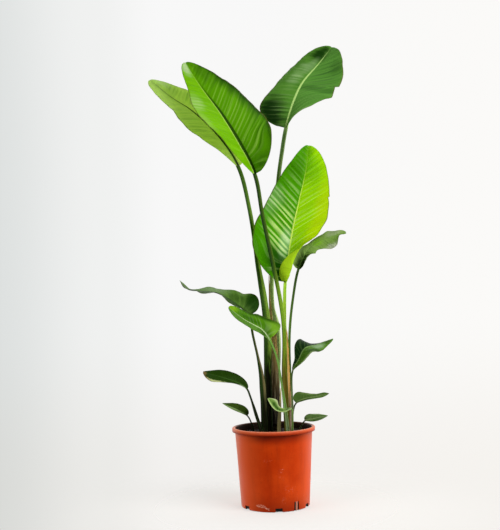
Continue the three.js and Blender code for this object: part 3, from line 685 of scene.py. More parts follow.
    {"name": "leaf_low_right_small", "girth": (3, 2.2, 20), "fine": (90, 10),
     "stalk": ((77, 30, 206), (84, 28, 222), (93, 26, 235)), "rib": ((117, 22, 240), (160, 15, 249)),
     "upper": ((-0.3, -1, 0), (-0.3, -0.7, 0.5), (0, -0.6, 0.8), (0, -0.6, 1)),
     "left": {"wide": (30, 20, 15, 10, 5), "fold": (25, 12, 5), "curl": (-10, -10, -10)},
     "right": {"wide": (10, 14, 15, 12, 6), "fold": (20, 20, 20), "curl": (-10, -20, -20)},
     "tones": ((92, 120, 62), (98, 126, 68), (150, 166, 112), (112, 132, 88)),
     "stems": ((18, 20, 12), (32, 40, 20), (50, 64, 32)),
     "spots": [(0.04, 0.0, 0.1, 1.3, (50, 70, 32), 0.7), (0.45, 0.6, 0.4, 0.35, (60, 92, 34), 0.75),
               (0.6, -0.95, 0.5, 0.25, (178, 196, 146), 0.8)]},
    {"name": "leaf_low_front", "girth": (3, 2.2, 40), "fine": (90, 10), "slot": "leaf_mid_green",
     "stalk": ((50, -76, 206), (53, -86, 262), (50, -92, 284)),
     "rib": ((29, -98, 277), (6, -104, 283), (-17, -108, 316)),
     "upper": ((0, -1, 0), (0.1, -0.5, 0.8), (0.3, -0.5, 0.8), (0.7, -0.6, 0.5)),
     "left": {"wide": (6, 8, 10, 12, 8), "fold": (40, 30, 20), "curl": (0, 0, 0)},
     "right": {"wide": (10, 12, 16, 22, 12), "fold": (60, 50, 40), "curl": (0, 0, 0)},
     "tones": ((190, 210, 136), (124, 158, 74), (180, 204, 140), (158, 182, 118)),
     "stems": ((70, 84, 44), (84, 112, 50), (100, 140, 60)),
     "spots": [(0.05, 0.3, 0.2, 1.0, (36, 62, 26), 0.7), (0.55, 0.35, 0.5, 0.35, (44, 86, 20), 0.9),
               (0.65, 1.0, 0.7, 0.4, (204, 218, 160), 0.9),
               (0.65, -1.0, 0.7, 0.4, (196, 212, 150), 0.9)]},
]
for leaf in LEAVES:
    leaf.update({**USUAL_LEAF, **leaf, "left": {**USUAL_HALF, **leaf["left"]},
                 "right": {**USUAL_HALF, **leaf["right"]}})
    leaf["line"] = growth_line(leaf["stalk"], leaf["rib"], leaf["upper"])
print(len(LEAVES), "leaves; the tallest line is", round(LEAVES[2]["line"].total), "mm long")

# %% [markdown]
# ## Blades
# A blade is a sheet with a pleat for every few veins. On the real plant the veins leave the midrib
# almost square and swing a little towards the tip at the margin, and the margin waves slightly. The
# sheet is worked out at v from -1, the left margin, to 1, the right one, and gets its thickness by
# moving its points half of it each way along the normal.

# %% Blade surface
BLADE_ENDS = (0.006, 0.997)
BLADE_THICK = 0.7
MARGIN_THIN = 0.35
CROWDED = 0.4
TEAR_EDGE = 0.01
BASE_RISE = -0.25
RUFFLE = 0.018
SHORT_BLADE = 250


def half_width(half, s):
    """wide(s) times the square root of 4 s (1 - s), so both ends are round."""
    return np.sqrt(4 * s * (1 - s)) * along(half["wide"], s)


def half_blade(line, half, side, s, out, seed):
    """One half: an arc that starts at the midrib, leaning by fold, and bends on by curl.

    The arc's two sides are width (sin lean - sin fold) / curl across and width (cos fold - cos lean)
    / curl high. The margin is a little ragged and ruffled, and waves count times from base to tip.
    A tear (where, wide, deep) is a slit along a vein: below it the margin stands back by that share.
    """
    where, wide, deep = half["tear"]
    below = np.exp(-np.clip((where - s) / wide, 0, None)) * np.clip((where - s) / TEAR_EDGE + 1, 0, 1)
    width = half_width(half, s) * (1 - deep * below * out**2)
    width = width * (1 + half["ragged"] * out**2 * wander(s, seed + 2, 5, 1.5))
    reach = line.long * (s + half["sweep"] * np.sin(np.pi * s) * out**1.5)
    share = np.clip(reach / line.long, 0, 1)
    fold = np.radians(along(half["fold"], share))
    curl = np.radians(along(half["curl"], share))
    curl = np.where(np.abs(curl) < 1e-3, 1e-3, curl)
    lean = fold + curl * out
    height, count = half["wave"]
    ripple = height * out**2 * np.sin(2 * np.pi * count * s) * np.clip(2 * np.sin(np.pi * s), 0, 1)
    ripple = ripple + RUFFLE * width * out**3 * wander(s, seed, waves=7, slowest=2.0)
    across = width * (np.sin(lean) - np.sin(fold)) / curl - ripple * np.sin(lean)
    high = width * (np.cos(fold) - np.cos(lean)) / curl + ripple * np.cos(lean)
    place, right, up = line.at(line.base + np.minimum(reach, line.long))
    return place + side * across[..., None] * right + high[..., None] * up


def vein_count(line, half, every, s, out, seed):
    """How many pleats lie between the base and the vein through each point.

    A vein rises towards the tip as it runs out, by rise times its distance from the midrib. In the
    lobes at the base it runs back instead, so the veins there fan out.
    """
    share = s + half["sweep"] * np.sin(np.pi * s) * out**1.5
    rise = between((BASE_RISE, half["rise"]), ease(share / 0.3))
    start = line.long * share - rise * half_width(half, s) * out
    return start / every + 0.3 * wander(start / line.long, seed + 5, waves=6, slowest=3.0)


def pleats(line, every, height, count, s, out, seed):
    """Low ridges along the veins, lower at the midrib, at the margin and towards both ends."""
    strength = ease(out * 5) * (1 - 0.6 * ease((out - 0.7) * 4)) * np.sin(np.pi * s) ** 0.4
    uneven = 0.7 + 0.5 * wander(count * every / line.long, seed + 9, waves=5, slowest=4.0)
    return height * min(1.0, line.long / SHORT_BLADE) * np.cos(2 * np.pi * count) * strength * uneven


def blade_mesh(name, leaf, seed):
    """Upper and lower faces with the same grid, closed all round by a narrow margin.

    A share of the rows, crowded, is drawn towards both ends, where the outline turns most.
    """
    rows, halves = leaf["fine"]
    line, left, right = leaf["line"], leaf["left"], leaf["right"]
    t = np.linspace(0, 1, rows)
    t = (1 - CROWDED) * t + CROWDED * (0.5 - 0.5 * np.cos(np.pi * t))
    s, v = np.meshgrid(between(BLADE_ENDS, t), np.linspace(-1, 1, 2 * halves + 1), indexing="ij")
    out = np.abs(v)
    middle = np.where(v[..., None] < 0, half_blade(line, left, -1, s, out, seed),
                      half_blade(line, right, 1, s, out, seed + 1))
    every, high = leaf["pleats"]
    count = np.where(v < 0, vein_count(line, left, every, s, out, seed),
                     vein_count(line, right, every, s, out, seed + 3))
    normal = normals(middle)
    raised = middle + normal * pleats(line, every, high, count, s, out, seed)[..., None]
    points, faces = sheet_solid(raised, normal, BLADE_THICK * between((1, MARGIN_THIN), out**4))
    off = np.where(v < 0, half_width(left, s), half_width(right, s)) * out * MM
    vein = np.tile(point_values(count, v, off), (2, 1))
    side = np.concatenate([point_values(under, s, 0) for under in (0, 1)])
    return mesh_from(name, points, faces, vein=vein, side=side)


print("blades are", BLADE_THICK, "mm thick at the midrib")

# %% [markdown]
# ## The finish of a blade
# Seen close, a blade is striped: dark streaks run along the veins from midrib to margin, with much
# finer lines between them, and painted highlights lie along the crests of the pleats. Soft ovals of
# painted highlight and painted shade lie over it, with a few of the leaf's own tones. The midrib is
# pale on some leaves and dark on others; on the two top left leaves that dark is painted shade in
# its channel, with a painted highlight along the channel's left lip. The margin is a thin olive
# brown line, and the underside is duller and greyer. A share of the light passes through, which
# warms the shaded parts. The streaks need the leaf's own coordinates, so they read the `vein`
# attribute and not the place.

# %% Leaf material
MARGIN_COLOUR = (96, 86, 40)
LEAF_SHINE = 0.04
SHINE_TINT = (0.9, 1.0, 0.55, 1.0)


def leaf_material(name, tones, seed, stripes, spots, beside=None, lines=None,
                  band=(0.0008, 0.004, 0.5), through=0.12, gloss=0.42, mottle=1.0, warm=0.3,
                  fade=(0.8, 1.0)):
    """Painted highlights along the pleats on each half's tone, with rib, margin, spots and underside.

    Highlight lines are the strengths of the painted highlights along the pleat crests on the left
    and right half and their width as a share of a pleat, and lines is their colour. A spot is a soft
    oval in the leaf's own coordinates: (s, v, half length, half width, colour, strength). It paints
    the broad places of painted highlight and painted shade on a blade, and a few of its own tones
    such as a brown tip; with two more numbers, its shares between pleats and on them, only streaks.
    Band is how far the midrib's colour reaches onto the blade, in metres, and how strongly, and fade
    where it stops towards the tip; on the two top left leaves it is painted shade in the channel.
    Beside is the colour of a painted highlight along the left of that band. Mottle is the strength
    of the dark clouds. Through is the share of light that passes, and warm how much of its blue is
    left.
    """
    recipe = Recipe(bpy.data.materials.new(name))
    count, v, off = recipe.attribute("vein")
    under, s, _ = recipe.attribute("side")
    left, right, rib, below = tones
    out = abs(v)
    broad = recipe.noise(recipe.join(count, v * 0.35, seed), 0.9, 3.0, 0.6)
    fine = recipe.noise(recipe.join(count, v * 0.1, seed), 5.0, 3.0, 0.6)
    each = recipe.noise(recipe.join(count, 0.0, seed + 3.0), 1.3, 1.0, 0.5)
    wave = ((count + broad.step(0.3, 0.7, -0.16, 0.16)) * (2 * math.pi)).math("COSINE")
    # The two halves' tones, which hold painted light and shade.
    colour = recipe.mix((v * s.step(0.6, 0.94, 1.0, 0.05)).step(-0.03, 0.03), left, right)
    uneven = broad.step(0.3, 0.7, -0.15, 0.15)
    # Soft ovals of painted highlight and painted shade, and a few of the leaf's own tones.
    for at_s, at_v, long, wide, tone, strength, *pleated in spots:
        x, y = (s - at_s) / long, (v - at_v) / wide
        amount = ((x * x + y * y).math("SQRT") + uneven).step(0.25, 1.0, strength, 0.0)
        if pleated:
            amount = amount * wave.step(-0.7, 0.7, *pleated) * each.step(0.3, 0.6, 0.35, 1.0)
        colour = recipe.mix(amount, colour, tone)
    darker = colour.tint(0.55, 0.66, 0.5)
    colour = recipe.coats(colour, (broad.step(0.38, 0.66, 0.45 * mottle, 0.0), darker),
                          (fine.step(0.35, 0.65, 0.22 * mottle, 0.0), darker))
    # Painted highlights along the crests of the pleats.
    start = math.cos(math.pi * stripes[2])
    crest_highlight = (wave.step(start, min(1.0, start + 0.7)) * out.step(0.0, 0.12)
             * out.step(0.45, 0.95, 1.0, 0.1) * broad.step(0.3, 0.6)
             * v.step(-0.01, 0.01, *stripes[:2]) * s.step(0.5, 0.85, 1.0, 0.15))
    lighter = recipe.mix(0.55, colour.tint(1.7, 1.35, 1.3), lines or rib)
    colour = recipe.mix(crest_highlight, colour, lighter)
    # The midrib's band; on the two top left leaves it is painted shade in the channel.
    off = off / s.step(0.2, 1.0, 1.0, 0.35)
    near = off.step(*band, 0.0) * s.step(*fade, 1.0, 0.15)
    # A painted highlight along the left lip of the midrib's channel.
    if beside:
        line = (off.step(*band[:2]) * off.step(band[1] + 0.002, band[1] + 0.007, 1.0, 0.0)
                * v.step(-0.01, 0.0, 0.7, 0.0) * s.step(0.7, 1.0, 1.0, 0.2))
        colour = recipe.mix(line, colour, beside)
    colour = recipe.coats(colour, (near, rib), (out.step(0.955, 0.985) * 0.6, MARGIN_COLOUR))
    dull = recipe.mix(fine.step(0.3, 0.7), scaled(below, 0.85), scaled(below, 1.1))
    colour = recipe.mix(under, colour, recipe.mix(near, dull, scaled(rib, 0.9)))
    rough = under * 0.18 + fine.step(0.3, 0.8, gloss - 0.04, gloss + 0.1)
    normal = recipe.bump(fine * 0.6 + broad * 0.4, 0.0003, 0.5)
    skin = recipe.skin(colour, rough, normal, LEAF_SHINE, SHINE_TINT)
    lit = {"Color": colour.tint(1.1, 1.1, warm), "Normal": normal}
    glow = recipe.node("ShaderNodeBsdfTranslucent", lit)
    return recipe.finish(recipe.mix_shaders(through, skin, glow))


print("margin colour", MARGIN_COLOUR)

# %% [markdown]
# ## Stalks
# Each stalk is round at the back and has a channel along its upper side. Low down it is a sheath whose
# two thin edges close round the next younger stalk, so ridges run up both sides of the channel. Past
# the blade's base the same piece goes on as the midrib, which is proud below and narrow above.

# %% Stalk surface
STALK_SIDES = 40
STALK_EVERY = 6.0
STALK_SHARE = 0.985
TIP_RADIUS = 0.7
STALK_FLAT = 0.6
STALK_LOW = 0.2
CHANNEL_DEEP = (0.42, 0.12)
CHANNEL_WIDE = 0.5
EDGE_HIGH = 0.16
EDGE_AT = 0.85
EDGE_WIDE = 0.16
CHANGE_OVER = 60
STALK_ROUGH = 0.45
STALK_SHINE = 0.1


def girth_at(leaf, length):
    """Even along the lower part of the sheath, narrower to its end, tapering along the midrib."""
    line = leaf["line"]
    foot, top, sheath, even = (*leaf["girth"], 0.5)[:4]
    low = between((foot, top), ease(((length - ROOTED) / sheath - even) / (1 - even)))
    share = np.clip((length - line.base) / line.long, 0, 1)
    return np.where(length > line.base, between((top, TIP_RADIUS), share**0.6), low)


def tube_mesh(name, line, length, angle, radius, high, way, from_top):
    """Rings along a line, radius cos a across and this high, with a fan at each end.

    Each point keeps cos a, sin a and its length in metres as its grain. Its kind is its share of the
    way up and its angle from the top of the ring.
    """
    place, right, up = (side[:, None] for side in line.at(length[:, 0]))
    grid = place - (radius * np.cos(angle))[..., None] * right + high[..., None] * up
    points = np.concatenate([grid.reshape(-1, 3), grid[[0, -1]].mean(1)])
    order = [*range(high.size), 0, -1]
    grain = point_values(np.cos(angle), np.sin(angle), length * MM)[order]
    kind = point_values(way, from_top, 0 * high)[order]
    return mesh_from(name, points, tube_faces(*high.shape), grain=grain, kind=kind)


def flattened(angle, above):
    """The sine of the angle, less high above by this factor."""
    sine = np.sin(angle)
    return np.where(sine > 0, above, 1.0) * sine


def stalk_mesh(name, leaf, seed):
    """Rings of r cos a across and r sin a high, flatter above, less a channel in the middle.

    The channel is deep on the stalk and shallow on the blade. The two edges of the sheath stand up
    at one angle from the top.
    """
    line = leaf["line"]
    end = line.total * STALK_SHARE
    length = np.linspace(0, end, int(end / STALK_EVERY))[:, None]
    angle = angles(STALK_SIDES)
    radius = girth_at(leaf, length) * (1 + 0.02 * wander(length / 200, seed, 4))
    sheath = 1 - ease((length - ROOTED - leaf["girth"][2]) / CHANGE_OVER)
    blade = ease((length - line.base + CHANGE_OVER / 3) / CHANGE_OVER)
    from_top = np.abs(np.angle(np.exp(1j * (angle - np.pi / 2))))
    channel = between(CHANNEL_DEEP, blade) * np.exp(-(from_top / CHANNEL_WIDE) ** 2)
    ridge = EDGE_HIGH * (0.4 + 0.6 * sheath) * (1 - blade)
    ridge = ridge * np.exp(-((from_top - EDGE_AT) / EDGE_WIDE) ** 2)
    high = radius * (flattened(angle, STALK_FLAT) - STALK_LOW + ridge - channel)
    way = np.where(length < line.base, (length - ROOTED) / (line.base - ROOTED),
                   1 + (length - line.base) / line.long)
    return tube_mesh(name, line, length, angle, radius, high, way, from_top)


def stalk_material(name, stems, rib, flank=None, fibres=(120, 96, 60), ends=(0.08, 0.34),
                   above=(0.6, 1.0)):
    """Colours that follow the stalk from the soil to the tip, with long thin fibres.

    Ends is where the foot's colour gives way to the middle's, and above where that gives way to the
    top's, as shares of the stalk. The flank is the colour of the right side: the paler edge of the
    sheath, and painted light where the lamp falls on that side. Brown fibres show at the foot, where
    the oldest skin has dried.
    """
    recipe = Recipe(bpy.data.materials.new(name))
    foot, middle, top = stems
    across, high, length = recipe.attribute("grain")
    way, from_top, _ = recipe.attribute("kind")
    fibre = recipe.noise(recipe.join(across, high, length * 1.6), 5.0, 4.0, 0.65)
    blotch = recipe.noise(recipe.join(across, high, length * 14.0), 1.3, 4.0, 0.6)
    uneven = way + blotch.step(0.3, 0.7, -0.05, 0.05)
    colour = recipe.mix(way.step(*above), recipe.mix(uneven.step(*ends), foot, middle), top)
    # Painted light on the right side, where the lamp falls, with the paler edge of the sheath.
    if flank:
        side = across.step(-0.5, 0.25, 0.85, 0.0) * uneven.step(*ends) * way.step(*above, 1.0, 0.25)
        colour = recipe.mix(side, colour, flank)
    dry = fibre.step(0.56, 0.7) * uneven.step(*ends, 0.6, 0.0)
    colour = recipe.coats(colour, (dry, fibres), (way.step(0.97, 1.08), rib))
    colour = recipe.mix(fibre.step(0.35, 0.7, 0.0, 0.45), colour, colour.tint(0.5, 0.55, 0.45))
    colour = recipe.mix(blotch.step(0.5, 0.72, 0.0, 0.3), colour, colour.tint(1.5, 1.3, 0.8))
    ridge = from_top.step(EDGE_AT - 0.25, EDGE_AT) - from_top.step(EDGE_AT, EDGE_AT + 0.25)
    colour = recipe.mix(ridge * 0.4, colour, rib)
    normal = recipe.bump(fibre, 0.0005, 0.7)
    return recipe.finish(recipe.skin(colour, STALK_ROUGH, normal, STALK_SHINE, SHINE_TINT))


print("stalk rings every", STALK_EVERY, "mm with", STALK_SIDES, "sides")

# %% [markdown]
# ## Dressing the leaves
# Each leaf gets its blade and its stalk, both in the place of the same solid. The seeds follow from
# its number in the table, so every run gives the same leaf.

# %% Dress every leaf
for number, leaf in enumerate(LEAVES):
    name, line, slot = leaf["name"], leaf["line"], leaf["slot"]
    short = name.replace("leaf_", "")
    skin = leaf_material(f"blade {short}", leaf["tones"], number * 1.7, leaf["stripes"],
                         leaf["spots"], **leaf["finish"])
    blade = blade_mesh(f"blade_{short}", leaf, 20 * number + 7)
    blade = place_piece(f"blade_{short}", blade, skin, name)
    skin = stalk_material(f"stalk {short}", leaf["stems"], leaf["tones"][2], **leaf["bark"])
    stalk = stalk_mesh(f"stalk_{short}", leaf, number)
    stalk = place_piece(f"stalk_{short}", stalk, skin, name)
    print(f"{name}: blade {line.long:.0f} mm, stalk {line.base - ROOTED:.0f} mm,",
          len(blade.data.polygons) + len(stalk.data.polygons), "faces")

# %% [markdown]
# ## The pot
# The pot is moulded in one piece: a thin wall that widens upwards, and a turned-out rim that is hollow
# below. Its outline is turned round the upright axis. Six wide notches round the foot and three pairs
# of narrow slots let the water out, and plain boxes cut them through the wall and the floor's edge.

# %% Pot surface
POT_SIDES = 240
POT_HEIGHT = 224
BASE_RADIUS = 98.5
WALL_TOP_RADIUS = 112.5
RIM_RADIUS = 120
RIM_DROP = 11
LIP_ROUND = 3
FOOT_ROUND = 2
WALL = 1.8
FLOOR = 2.6
WALL_SLOPE = (WALL_TOP_RADIUS - BASE_RADIUS) / (POT_HEIGHT - FLOOR)
POT_BULGE = 0.175
SHARP_ANGLE = 35
NOTCHES = [{"turn": 4 + 60 * i, "shift": 0, "wide": 20, "high": 11, "deep": 10} for i in range(6)]
SLOTS = [{"turn": 35 + 120 * i, "shift": shift, "wide": 5.5, "high": 25, "deep": 5}
         for i in range(3) for shift in (-5.25, 5.25)]


def arc(centre, radius, start, end, steps=6):
    """Points (centre + radius (cos a, sin a)) for angles a from start to end, in degrees."""
    angle = np.radians(np.linspace(start, end, steps + 1))
    return np.stack([centre[0] + radius * np.cos(angle), centre[1] + radius * np.sin(angle)], -1)


def straight(start, end, steps):
    """The points between two corners, without the corners."""
    t = np.linspace(0, 1, steps + 1)[1:-1, None]
    return np.array(start, float) * (1 - t) + np.array(end, float) * t


def pot_outline():
    """Radius and height from the middle of the underside, up outside and down inside."""
    foot, wall, rim = BASE_RADIUS, WALL_TOP_RADIUS, RIM_RADIUS
    skirt, inner = rim - WALL, foot - WALL
    under, top, drop = POT_HEIGHT - WALL, POT_HEIGHT - LIP_ROUND, POT_HEIGHT - RIM_DROP
    return np.concatenate([
        straight((0, 0), (foot - FOOT_ROUND, 0), 6),
        arc((foot - FOOT_ROUND, FOOT_ROUND), FOOT_ROUND, -90, 0),
        straight((foot, FOOT_ROUND), (wall, under - 0.8), 26),
        arc((wall + 0.8, under - 0.8), 0.8, 180, 90, 3),
        [(skirt - 0.6, under)],
        arc((skirt - 0.6, under - 0.6), 0.6, 90, 0, 2),
        straight((skirt, under), (skirt, drop), 3),
        arc((skirt + WALL / 2, drop + 0.6), WALL / 2, 180, 360, 4),
        straight((rim, drop), (rim, top), 3),
        arc((rim - LIP_ROUND, top), LIP_ROUND, 0, 90),
        arc((wall - WALL + LIP_ROUND, top), LIP_ROUND, 90, 180),
        straight((wall - WALL, top), (inner, FLOOR + FOOT_ROUND), 20),
        arc((inner - FOOT_ROUND, FLOOR + FOOT_ROUND), FOOT_ROUND, 0, -90, 4),
        straight((inner - FOOT_ROUND, FLOOR), (0, FLOOR), 6)])


def turned_mesh(name, outline, sides, bulge, seed):
    """The outline turned round the axis, with a fan at each end; bulge makes it a little uneven."""
    angle = angles(sides)
    radius, height = outline[:, :1], outline[:, 1:]
    drift = angle / (2 * np.pi) + height / 900
    uneven = (wander(drift, seed, waves=4, slowest=2.0)
              - wander(drift - 1, seed, waves=4, slowest=2.0))
    points = point_values(*turned(radius + bulge * uneven, 0, angle), height)
    middles = [[0, 0, outline[0, 1]], [0, 0, outline[-1, 1]]]
    return mesh_from(name, np.concatenate([points, middles]), tube_faces(len(outline), sides))


def box_corners(turn, shift, wide, high, deep):
    """A box across the wall at the foot, in front at turn 0 and further right with more turn."""
    outer, inner = BASE_RADIUS + 8, BASE_RADIUS - deep
    x = shift + wide / 2 * np.array([-1, 1, 1, -1, -1, 1, 1, -1])
    y = -np.array([outer, outer, inner, inner] * 2)
    z = np.array([-2.0] * 4 + [high] * 4)
    return point_values(*turned(x, y, math.radians(turn)), z)


def cut_with_boxes(mesh, boxes):
    """Takes the boxes out of the mesh and gives back the finished mesh."""
    sides = np.array([(0, 3, 2, 1), (4, 5, 6, 7), (0, 1, 5, 4), (1, 2, 6, 5), (2, 3, 7, 6),
                      (3, 0, 4, 7)])
    corners = np.concatenate([box_corners(**box) for box in boxes])
    faces = np.concatenate([sides + 8 * i for i in range(len(boxes))])
    knife = bpy.data.objects.new("knife", mesh_from("knife", corners, [faces], smooth=False))
    blank = bpy.data.objects.new("blank", mesh)
    for part in (knife, blank):
        bpy.context.scene.collection.objects.link(part)
    cut = blank.modifiers.new("cut", "BOOLEAN")
    cut.operation = "DIFFERENCE"
    cut.solver = "EXACT"
    cut.object = knife
    bpy.context.view_layer.update()
    whole = blank.evaluated_get(bpy.context.evaluated_depsgraph_get())
    finished = bpy.data.meshes.new_from_object(whole)
    for part in (knife, blank):
        bpy.data.objects.remove(part)
    finished.set_sharp_from_angle(angle=math.radians(SHARP_ANGLE))
    return finished


print(len(pot_outline()), "points on the outline,", len(NOTCHES) + len(SLOTS), "openings to cut")

# %% [markdown]
# ## The finish of the pot
# Cheap pots are a flat orange with darker and lighter clouds. The flanks of this one are painted
# lighter where the lamps fall, the left edge carries a painted pale reflection, and the middle is
# painted darker as shade. The wall is darker towards the foot and has painted shade under the lip,
# and the lip is worn pale on top. It was dragged over a bench, so pale scratches cross it, with one
# knot of them at the lower left in front, and the edges beside the front slots carry painted
# highlights. Wet compost and painted shade leave the inside and the back of the lip dark.

# %% Pot material
POT_ORANGE = (186, 50, 0)
POT_LIGHT = (202, 64, 6)
POT_DARK = (122, 26, 2)
# Dust on the lip, and the painted reflection along the left edge.
POT_DUST_AND_REFLECTION = (214, 132, 98)
# Painted light: the tone of the lit flanks.
POT_LIT_FLANKS = (226, 84, 26)
# Compost stain with painted shade, inside and on the back of the lip.
POT_SOILED_AND_SHADED = (30, 17, 12)
POT_ROUGH = (0.36, 0.5)
POT_SHINE = 0.16
POT_SHINE_TINT = (1.0, 0.72, 0.5, 1.0)
# Pale scratches, and the painted highlights on the edges beside the front slots.
SCRATCH_AND_HIGHLIGHT = (244, 196, 170)
SCRATCH_KNOT = [(-0.32, 0.001, 0.03), (-0.1, 0.012, 0.04)]
# Where the painted highlights beside the front slots lie, from the middle between them.
SLOT_HIGHLIGHT_AT = 0.0021


def pot_material():
    """Orange plastic: clouds, streaks, dust, scratches, and painted light and shade.

    A strand of the knot is a slope, a starting height and a drift, in metres. The painted highlights
    beside the front slots lie at the same distance on both sides of the middle between those slots.
    """
    recipe = Recipe(bpy.data.materials.new("pot plastic"))
    spot = recipe.place()
    x, y, z = spot.split()
    away = (x * x + y * y).math("SQRT")
    clouds = recipe.noise(spot, 9.0, 4.0, 0.6)
    specks = recipe.noise(spot, 260.0, 2.0, 0.5)
    streak = recipe.noise(recipe.join(x, y, z * 0.12), 42.0, 3.0, 0.6)
    # Painted shade: the middle of the pot, between the lit flanks, is darker.
    middle = (abs(x).step(0.0, 0.06, 0.25, 0.0) * z.step(0.02, 0.17, 1.0, 0.3)
              * clouds.step(0.3, 0.7, 1.0, 0.4))
    # Darker towards the foot, and painted shade under the lip.
    low = ((z.step(0.0, 0.06, 0.7, 0.0) + z.step(0.18, 0.209, 0.0, 1.2))
           * clouds.step(0.25, 0.6, 0.6, 1.0) * z.step(0.2125, 0.2135, 1.0, 0.0))
    # Painted light: the flanks are lighter where the lamps fall.
    painted_light_flanks = (x - y * 0.3).step(-0.075, 0.01, 0.85, 0.0).larger(x.step(0.05, 0.1, 0.0, 0.55))
    # Painted reflection: a pale band along the left edge.
    left_reflection = x.step(-0.112, -0.09, 0.5, 0.0) * clouds.step(0.3, 0.65, 0.6, 1.0)
    shaded = z.step(0.2125, 0.2132) * z.step(0.2135, 0.2215, 0.75, 0.0)
    rim = z.step(0.2215, 0.2235) * specks.step(0.3, 0.6, 0.45, 0.9)
    worn = z.step(0.2145, 0.2235) * clouds.step(0.3, 0.7, 0.2, 0.4)
    fine = recipe.noise(recipe.join(x * 0.5, y, z), 90.0, 3.0, 0.65)
    rare = recipe.noise(spot, 14.0, 2.0, 0.5).step(0.6, 0.7)
    scuff = abs(fine - 0.5).step(0.0, 0.006, 0.5, 0.0) * rare
    knot = 0.0
    for strand, (slope, start, drift) in enumerate(SCRATCH_KNOT):
        drawn = recipe.noise(recipe.join(x * 75.0, strand * 5.3, 0.0), 1.0, 2.0, 0.7)
        line = x * slope + (start - drift / 2) + drawn * drift
        knot = abs(z - line).step(0.0002, 0.0009, 1.0, 0.0).larger(knot)
    knot = (knot * x.step(-0.057, -0.053) * x.step(-0.024, -0.018, 1.0, 0.0)
            * y.step(-0.03, -0.06) * specks.step(0.4, 0.52, 0.35, 1.0))
    # Painted highlights along the edges beside the front slots.
    turn = math.radians(SLOTS[0]["turn"])
    beside = abs(abs(x * math.cos(turn) + y * math.sin(turn)) - SLOT_HIGHLIGHT_AT)
    slot_edge_highlight = (beside.step(0.0003, 0.0009, 0.8, 0.0) * z.step(0.024, 0.027, 1.0, 0.0)
              * y.step(-0.07, -0.06, 1.0, 0.0))
    # Compost stain and painted shade on the inside wall and the back of the lip.
    wall = (BASE_RADIUS - WALL / 2 - WALL_SLOPE * FLOOR) * MM
    inside = ((away - z * WALL_SLOPE).step(wall - 0.0004, wall + 0.0004, 1.0, 0.0)
              * z.step(0.2212, 0.2236, 1.0, 0.0))
    lip = (y.step(0.0, 0.04, 0.0, 0.9) * z.step(0.2205, 0.2215)
           * away.step(0.118, 0.1195, 1.0, 0.0))
    soil_stain_and_shade = inside.larger(lip) * clouds.step(0.2, 0.6, 0.9, 1.0)
    colour = recipe.coats(
        recipe.mix(clouds.step(0.35, 0.68), POT_ORANGE, POT_LIGHT),
        (streak.step(0.42, 0.75, 0.0, 0.35), POT_DARK), (middle, POT_DARK),
        (specks.step(0.6, 0.72, 0.0, 0.3), POT_DARK), (low, POT_DARK), (painted_light_flanks, POT_LIT_FLANKS),
        (left_reflection, POT_DUST_AND_REFLECTION), (shaded, POT_DARK), (rim.larger(worn), POT_DUST_AND_REFLECTION),
        (scuff.larger(slot_edge_highlight).larger(knot), SCRATCH_AND_HIGHLIGHT), (soil_stain_and_shade, POT_SOILED_AND_SHADED))
    rough = clouds.step(0.3, 0.7, *POT_ROUGH)
    normal = recipe.bump(specks + streak * 0.5, 0.0003, 0.5)
    return recipe.finish(recipe.skin(colour, rough, normal, POT_SHINE, POT_SHINE_TINT))


pot_blank = turned_mesh("pot", pot_outline(), POT_SIDES, POT_BULGE, 3)
pot = place_piece("pot_fine", cut_with_boxes(pot_blank, NOTCHES + SLOTS), pot_material(), "pot")
print("pot:", len(pot.data.polygons), "faces")

# %% [markdown]
# ## The soil
# Dark peat fills the pot to a finger's width below the rim. Its top is a grid in rings and spokes with
# lumps of three sizes. Crumbs of peat and bark lie on it, each one a small crushed ball, and among
# them a few pale grains of perlite.

# %% Soil
SOIL_TOP = 206
SOIL_SWELL = 3
SOIL_EDGE_DROP = 2
SOIL_CLEAR = 0.35
SOIL_RINGS = 70
SOIL_SIDES = 200
SOIL_SHINE = 0.3
LUMPS = [(1.1, 17), (0.8, 6.5), (0.45, 2.6)]


def lumps(x, y, size, seed):
    """Random heights at the corners of squares of this size, blended smoothly between them."""
    table = np.random.default_rng(seed).uniform(-1, 1, (96, 96))
    u, v = x / size + 48, y / size + 48
    i, j = np.floor(u).astype(int) % 95, np.floor(v).astype(int) % 95
    a, b = ease(u - np.floor(u)), ease(v - np.floor(v))
    near = table[i, j] * (1 - a) + table[i + 1, j] * a
    far = table[i, j + 1] * (1 - a) + table[i + 1, j + 1] * a
    return near * (1 - b) + far * b


def soil_edge(z):
    """The radius of the pot's inner wall at this height, less a hair."""
    return BASE_RADIUS - WALL + WALL_SLOPE * (z - FLOOR) - SOIL_CLEAR


def soil_height(x, y):
    """The height of the soil's top: a low swell with large, middling and small lumps."""
    share = 1 - np.hypot(x, y) / soil_edge(SOIL_TOP)
    swell = SOIL_SWELL * np.sin(np.pi / 2 * np.clip(share, 0, 1))
    rough = sum(high * lumps(x, y, size, seed + 1) for seed, (high, size) in enumerate(LUMPS))
    return SOIL_TOP - SOIL_EDGE_DROP + swell + rough * ease(share * 12)


def soil_mesh():
    """The plug: underside, side and lumpy top, all as one closed turned shape."""
    foot, top = FLOOR + SOIL_CLEAR, SOIL_TOP - SOIL_EDGE_DROP
    share = np.linspace(1, 0, SOIL_RINGS + 1)[:-1, None] ** 0.9
    lift = np.linspace(0, 1, 9)[:, None]
    radius = np.concatenate([between((soil_edge(FLOOR), soil_edge(top)), lift),
                             soil_edge(top) * share])
    x, y = turned(radius, 0, angles(SOIL_SIDES))
    z = soil_height(x, y)
    z[:len(lift)] = between((foot, top), lift)
    ends = [[0, 0, foot], [0, 0, float(soil_height(np.zeros(1), np.zeros(1))[0])]]
    return mesh_from("soil", np.concatenate([point_values(x, y, z), ends]),
                     tube_faces(len(radius), SOIL_SIDES))


